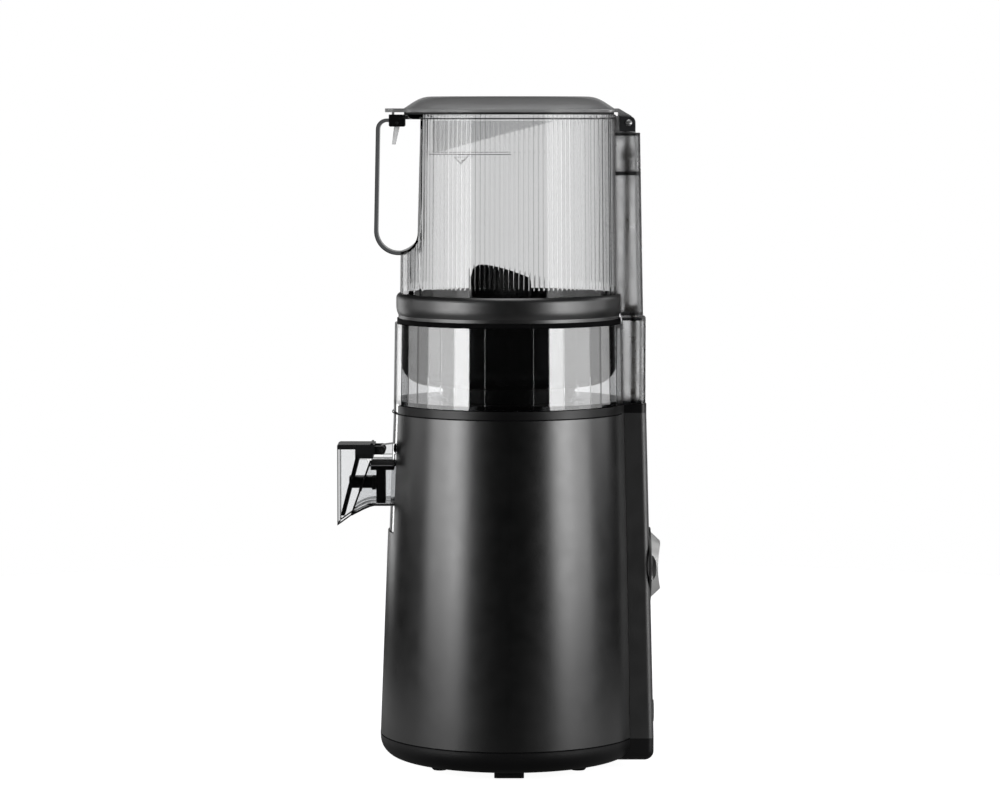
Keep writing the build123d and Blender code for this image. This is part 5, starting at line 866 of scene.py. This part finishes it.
cheek_plastic = moulded("cheek_plastic", CHEEK_DARK, roughness=0.3, grain=0.001, depth=0.000008)
cheek_line = [(pin_y + CHEEK_ROUND, pin_z - CHEEK_DROP)]
for i in range(CHEEK_ROUND_STEPS + 1):
    angle = pi / 2 * i / CHEEK_ROUND_STEPS
    cheek_line.append((pin_y + CHEEK_ROUND * cos(angle), pin_z + CHEEK_ROUND * sin(angle)))
cheek_line += [(pin_y - CHEEK_FRONT, pin_z + CHEEK_ROUND), (pin_y - CHEEK_FRONT, pin_z - CHEEK_DROP)]
cheek_centre = Vector((pin_y - CHEEK_CENTRE_SHIFT, pin_z - CHEEK_CENTRE_SHIFT))
for name, side in (("cheek_far", -1), ("cheek_near", 1)):
    rings = []
    for out, inset in CHEEK_RINGS:
        ring = []
        for y, z in cheek_line:
            toward = (cheek_centre - Vector((y, z))).normalized() * inset
            ring.append((side * (pin_high.x + out), y + toward.x, z + toward.y))
        rings.append(ring)
    cheek = lofted(name, rings)
    cheek.data.materials.append(cheek_plastic)
    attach(cheek, "hopper")
bright_steel = metal("bright_steel", HEAD_SILVER, roughness=0.45, line=0.0003, stretch=(1, 1, 1))
for name, side in (("pin_head_far", -1), ("pin_head_near", 1)):
    rings = []
    for share, out in HEAD_DOME:
        x = side * (pin_high.x + CHEEK_THICKNESS + out)
        ring = []
        for i in range(HEAD_STEPS):
            angle = 2 * pi * i / HEAD_STEPS
            ring.append((x, pin_y + HEAD_RADIUS * share * cos(angle), pin_z + HEAD_RADIUS * share * sin(angle)))
        rings.append(ring)
    head = lofted(name, rings)
    smooth_shade(head, degrees=50)
    head.data.materials.append(bright_steel)
    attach(head, "hopper")

# ---- the handle and the latch ----
# A flat smoked strap moulded in a loop, its lower end bonded under the recess in the hopper's front. Its top
# end is held in the black housing of the latch, where a frosted trigger turns on a steel pin.
strap_resin = resin("strap_resin", absorbed=0.72, haze=0.03)
frosted_resin = resin("frosted_resin", absorbed=0.3, haze=0.5)
finish_node("handle_strap", strap_resin)
finish_node("latch_housing", trim_plastic)
finish_node("latch_trigger", frosted_resin)

# ---- the lid ----
# A domed lid of dark smoked resin, moulded in one with its front tab and the hinge's knuckle. The resin is
# filled, so that only half of the light that enters it goes through.
LID_TINT = (0.84, 0.84, 0.845)
LID_CLEARNESS = 0.5
lid_resin = resin("lid_resin", absorbed=0.8, haze=0.16, tint=LID_TINT, ior=1.4)
lid_resin.node_tree.nodes["Principled BSDF"].inputs["Transmission Weight"].default_value = LID_CLEARNESS
finish_node("lid", lid_resin)

# ---- the studio floor ----
# A round floor of matt white paper that looks evenly lit. Black flags hide it from the polished parts, so
# that nothing is lit from below but for a pale card round the foot, which is weaker in front and behind.
FLOOR_RADIUS = 1.1
FLOOR_STEPS = 96
FLOOR_WHITE = (0.9, 0.9, 0.9)
FLOOR_SHADE = 0.98
FLOOR_CLOUD = 0.2
FLOOR_ROUGHNESS = 0.9
FLOOR_FLAG = (0.01, 0.01, 0.01)
FLOOR_GLOW = 0.94
CARD_RADIUS = 0.3
CARD_FADE = 0.65
CARD_LEVEL = 0.36
CARD_MIDDLE = 0.12
CARD_MIDDLE_HALF = 0.02
CARD_SIDE = 0.3
NO_BOUNCE = 0.5


def ray_fact(tree, fact):
    """What is known of a ray, such as whether it comes from the camera or how many walls it has crossed."""
    return tree.nodes.new("ShaderNodeLightPath").outputs[fact]


def sums(tree, operation, first, second):
    """The outcome of one sum, each side a socket or a number."""
    node = tree.nodes.new("ShaderNodeMath")
    node.operation = operation
    for side, value in zip(node.inputs, (first, second)):
        if isinstance(value, (int, float)):
            side.default_value = value
        else:
            tree.links.new(value, side)
    return node.outputs[0]


def eased(tree, value, start, end, first, last):
    """Runs smoothly from first to last while the value runs from start to end."""
    node = tree.nodes.new("ShaderNodeMapRange")
    node.interpolation_type = "SMOOTHSTEP"
    for socket, number in zip(("From Min", "From Max", "To Min", "To Max"), (start, end, first, last)):
        node.inputs[socket].default_value = number
    tree.links.new(value, node.inputs["Value"])
    return node.outputs["Result"]


def seen_through(tree):
    """One where the camera sees something straight through clear parts, and nought after a reflection."""
    path = tree.nodes.new("ShaderNodeLightPath")
    bounced = sums(tree, "ADD", path.outputs["Glossy Depth"], path.outputs["Diffuse Depth"])
    straight = sums(tree, "LESS_THAN", bounced, NO_BOUNCE)
    return sums(tree, "MULTIPLY", path.outputs["Is Transmission Ray"], straight)


def floor_material():
    """White paper for the camera, black flags for the rest, and the pale card for what mirrors the floor."""
    made, tree, shader = blank_material("white_paper")
    seen = ray_fact(tree, "Is Camera Ray")
    paper = spread(tree, noise(tree, FLOOR_CLOUD, detail=3.0), 0, 1)
    shade = [c * FLOOR_SHADE for c in FLOOR_WHITE]
    colour = tree.nodes.new("ShaderNodeMix")
    colour.data_type = "RGBA"
    colour.inputs[MIX_FIRST].default_value = (*FLOOR_FLAG, 1)
    tree.links.new(blend_colour(tree, paper, shade, FLOOR_WHITE), colour.inputs[MIX_SECOND])
    tree.links.new(seen, colour.inputs[0])
    tree.links.new(colour.outputs[MIX_COLOUR], shader.inputs["Base Color"])
    shader.inputs["Roughness"].default_value = FLOOR_ROUGHNESS
    shader.inputs["Specular IOR Level"].default_value = 0.0
    shader.inputs["Emission Color"].default_value = (1, 1, 1, 1)
    glow = sums(tree, "MULTIPLY", seen, FLOOR_GLOW)
    spot = tree.nodes.new("ShaderNodeTexCoord").outputs["Object"]
    reach = tree.nodes.new("ShaderNodeVectorMath")
    reach.operation = "LENGTH"
    tree.links.new(spot, reach.inputs[0])
    sideways = tree.nodes.new("ShaderNodeSeparateXYZ")
    tree.links.new(spot, sideways.inputs[0])
    off_middle = sums(tree, "ABSOLUTE", sideways.outputs["Y"], 0.0)
    round_foot = eased(tree, reach.outputs["Value"], CARD_FADE, CARD_RADIUS, 0.0, 1.0)
    beside = eased(tree, off_middle, CARD_MIDDLE_HALF, CARD_SIDE, CARD_MIDDLE, 1.0)
    card = sums(tree, "MULTIPLY", round_foot, sums(tree, "MULTIPLY", beside, CARD_LEVEL))
    lit = sums(tree, "MAXIMUM", glow, sums(tree, "MULTIPLY", card, ray_fact(tree, "Is Glossy Ray")))
    tree.links.new(sums(tree, "MAXIMUM", lit, seen_through(tree)), shader.inputs["Emission Strength"])
    return made


floor_ring = []
for i in range(FLOOR_STEPS):
    angle = 2 * pi * i / FLOOR_STEPS
    floor_ring.append((FLOOR_RADIUS * cos(angle), FLOOR_RADIUS * sin(angle), 0))
floor = mesh_object("floor", floor_ring, [tuple(range(FLOOR_STEPS))])
floor.data.materials.append(floor_material())

# ---- the soft panels ----
# Three tall panels stand on each side of the camera's line and two more behind, one hangs behind on the right
# for the knob and one overhead. Clear parts with nothing behind them don't show a panel.
# Rays that have crossed more walls than THIN_DEPTH see it dimly, so that deep ribs don't glitter.
THIN_DEPTH = 3.5
DEEP_SHARE = 0.2
# Each row holds a name, the degrees round from the camera, the distance, foot, top, width and watts.
TALL_PANELS = (
    ("left_box", -62, 0.95, 0.05, 0.5, 0.6, 1.99),
    ("left_core", -47, 0.93, 0.06, 0.5, 0.3, 0.8),
    ("left_fill", -100, 1.1, 0.17, 0.5, 0.4, 0.41),
    ("right_box", 63, 0.95, 0.05, 0.5, 0.62, 1.94),
    ("right_core", 50, 0.93, 0.06, 0.5, 0.36, 0.83),
    ("right_fill", 99, 1.1, 0.18, 0.5, 0.44, 0.54),
    ("left_back", -142, 1.2, 0.01, 0.46, 0.4, 1.01),
    ("right_back", 142, 1.2, 0.01, 0.46, 0.4, 1.01),
    ("knob_box", 116, 1.0, 0.5, 0.86, 0.34, 0.55),
)
TOP_PANEL_AT = Vector((0.35, 0, 1.7))
TOP_PANEL_AIM = Vector((-0.2, 0, -1))
TOP_PANEL_SIZE = 0.9
TOP_PANEL_WATTS = 4.6


def panel_light(name, place, aim, width, height, watts):
    """An even area light at a place, facing along aim."""
    data = bpy.data.lights.new(name, "AREA")
    data.shape = "RECTANGLE"
    data.size = width
    data.size_y = height
    data.energy = watts
    data.use_nodes = True
    tree = data.node_tree
    shallow = sums(tree, "LESS_THAN", ray_fact(tree, "Transmission Depth"), THIN_DEPTH)
    dimmed = sums(tree, "MAXIMUM", shallow, DEEP_SHARE)
    lit = sums(tree, "SUBTRACT", 1.0, seen_through(tree))
    tree.links.new(sums(tree, "MULTIPLY", dimmed, lit), tree.nodes["Emission"].inputs["Strength"])
    light = bpy.data.objects.new(name, data)
    bpy.context.scene.collection.objects.link(light)
    light.visible_camera = False
    light.location = place
    light.rotation_euler = aim.to_track_quat("-Z", "Y").to_euler()


for name, azimuth, distance, foot, top, width, watts in TALL_PANELS:
    middle = (foot + top) / 2
    place = Vector((distance * cos(radians(azimuth)), distance * sin(radians(azimuth)), middle))
    panel_light(name, place, Vector((0, 0, middle)) - place, width, top - foot, watts)
panel_light("top_box", TOP_PANEL_AT, TOP_PANEL_AIM, TOP_PANEL_SIZE, TOP_PANEL_SIZE, TOP_PANEL_WATTS)

# ---- the surround ----
# A white surround that the camera sees at full strength and a little dimmer through the clear parts. Polished
# parts see black flags there instead, and one grey panel straight behind the juicer.
FLAG_LEVEL = 0.006
PANEL_LEVEL = 0.3
PANEL_FADE = -0.9
PANEL_EDGE = -0.97
THROUGH_LEVEL = 0.78
world = bpy.data.worlds.new("surround")
bpy.context.scene.world = world
world.use_nodes = True
sky_tree = world.node_tree
sky = sky_tree.nodes["Background"]
sky.inputs["Color"].default_value = (1, 1, 1, 1)
direction = sky_tree.nodes.new("ShaderNodeSeparateXYZ")
sky_tree.links.new(sky_tree.nodes.new("ShaderNodeTexCoord").outputs["Generated"], direction.inputs[0])
back_panel = eased(sky_tree, direction.outputs["X"], PANEL_FADE, PANEL_EDGE, 0.0, 1.0)
mirrored = sums(sky_tree, "MAXIMUM", sums(sky_tree, "MULTIPLY", back_panel, PANEL_LEVEL), FLAG_LEVEL)
behind = sums(sky_tree, "MAXIMUM", back_panel, THROUGH_LEVEL)
through = sums(sky_tree, "MULTIPLY", seen_through(sky_tree), behind)
unseen = sums(sky_tree, "MAXIMUM", mirrored, through)
in_view = ray_fact(sky_tree, "Is Camera Ray")
sky_tree.links.new(sums(sky_tree, "MAXIMUM", in_view, unseen), sky.inputs["Strength"])

# ---- the camera ----
# A long lens two and a half metres off, level with the lid and tilted a little down, square to the side of
# the juicer that has the spout on its left.
CAMERA_AT = (2.448, 0.0, 0.4437)
CAMERA_TILT = 4.544
CAMERA_LENS = 130.0
SENSOR_WIDTH = 36.0
CAMERA_REACH = 50.0
camera_data = bpy.data.cameras.new("camera")
camera_data.lens = CAMERA_LENS
camera_data.sensor_width = SENSOR_WIDTH
camera_data.clip_end = CAMERA_REACH
camera = bpy.data.objects.new("camera", camera_data)
bpy.context.scene.collection.objects.link(camera)
camera.location = CAMERA_AT
camera.rotation_euler = (radians(90 - CAMERA_TILT), 0, radians(90))
bpy.context.scene.camera = camera
bpy.context.scene.view_settings.view_transform = "Standard"
bpy.context.scene.view_settings.look = "None"
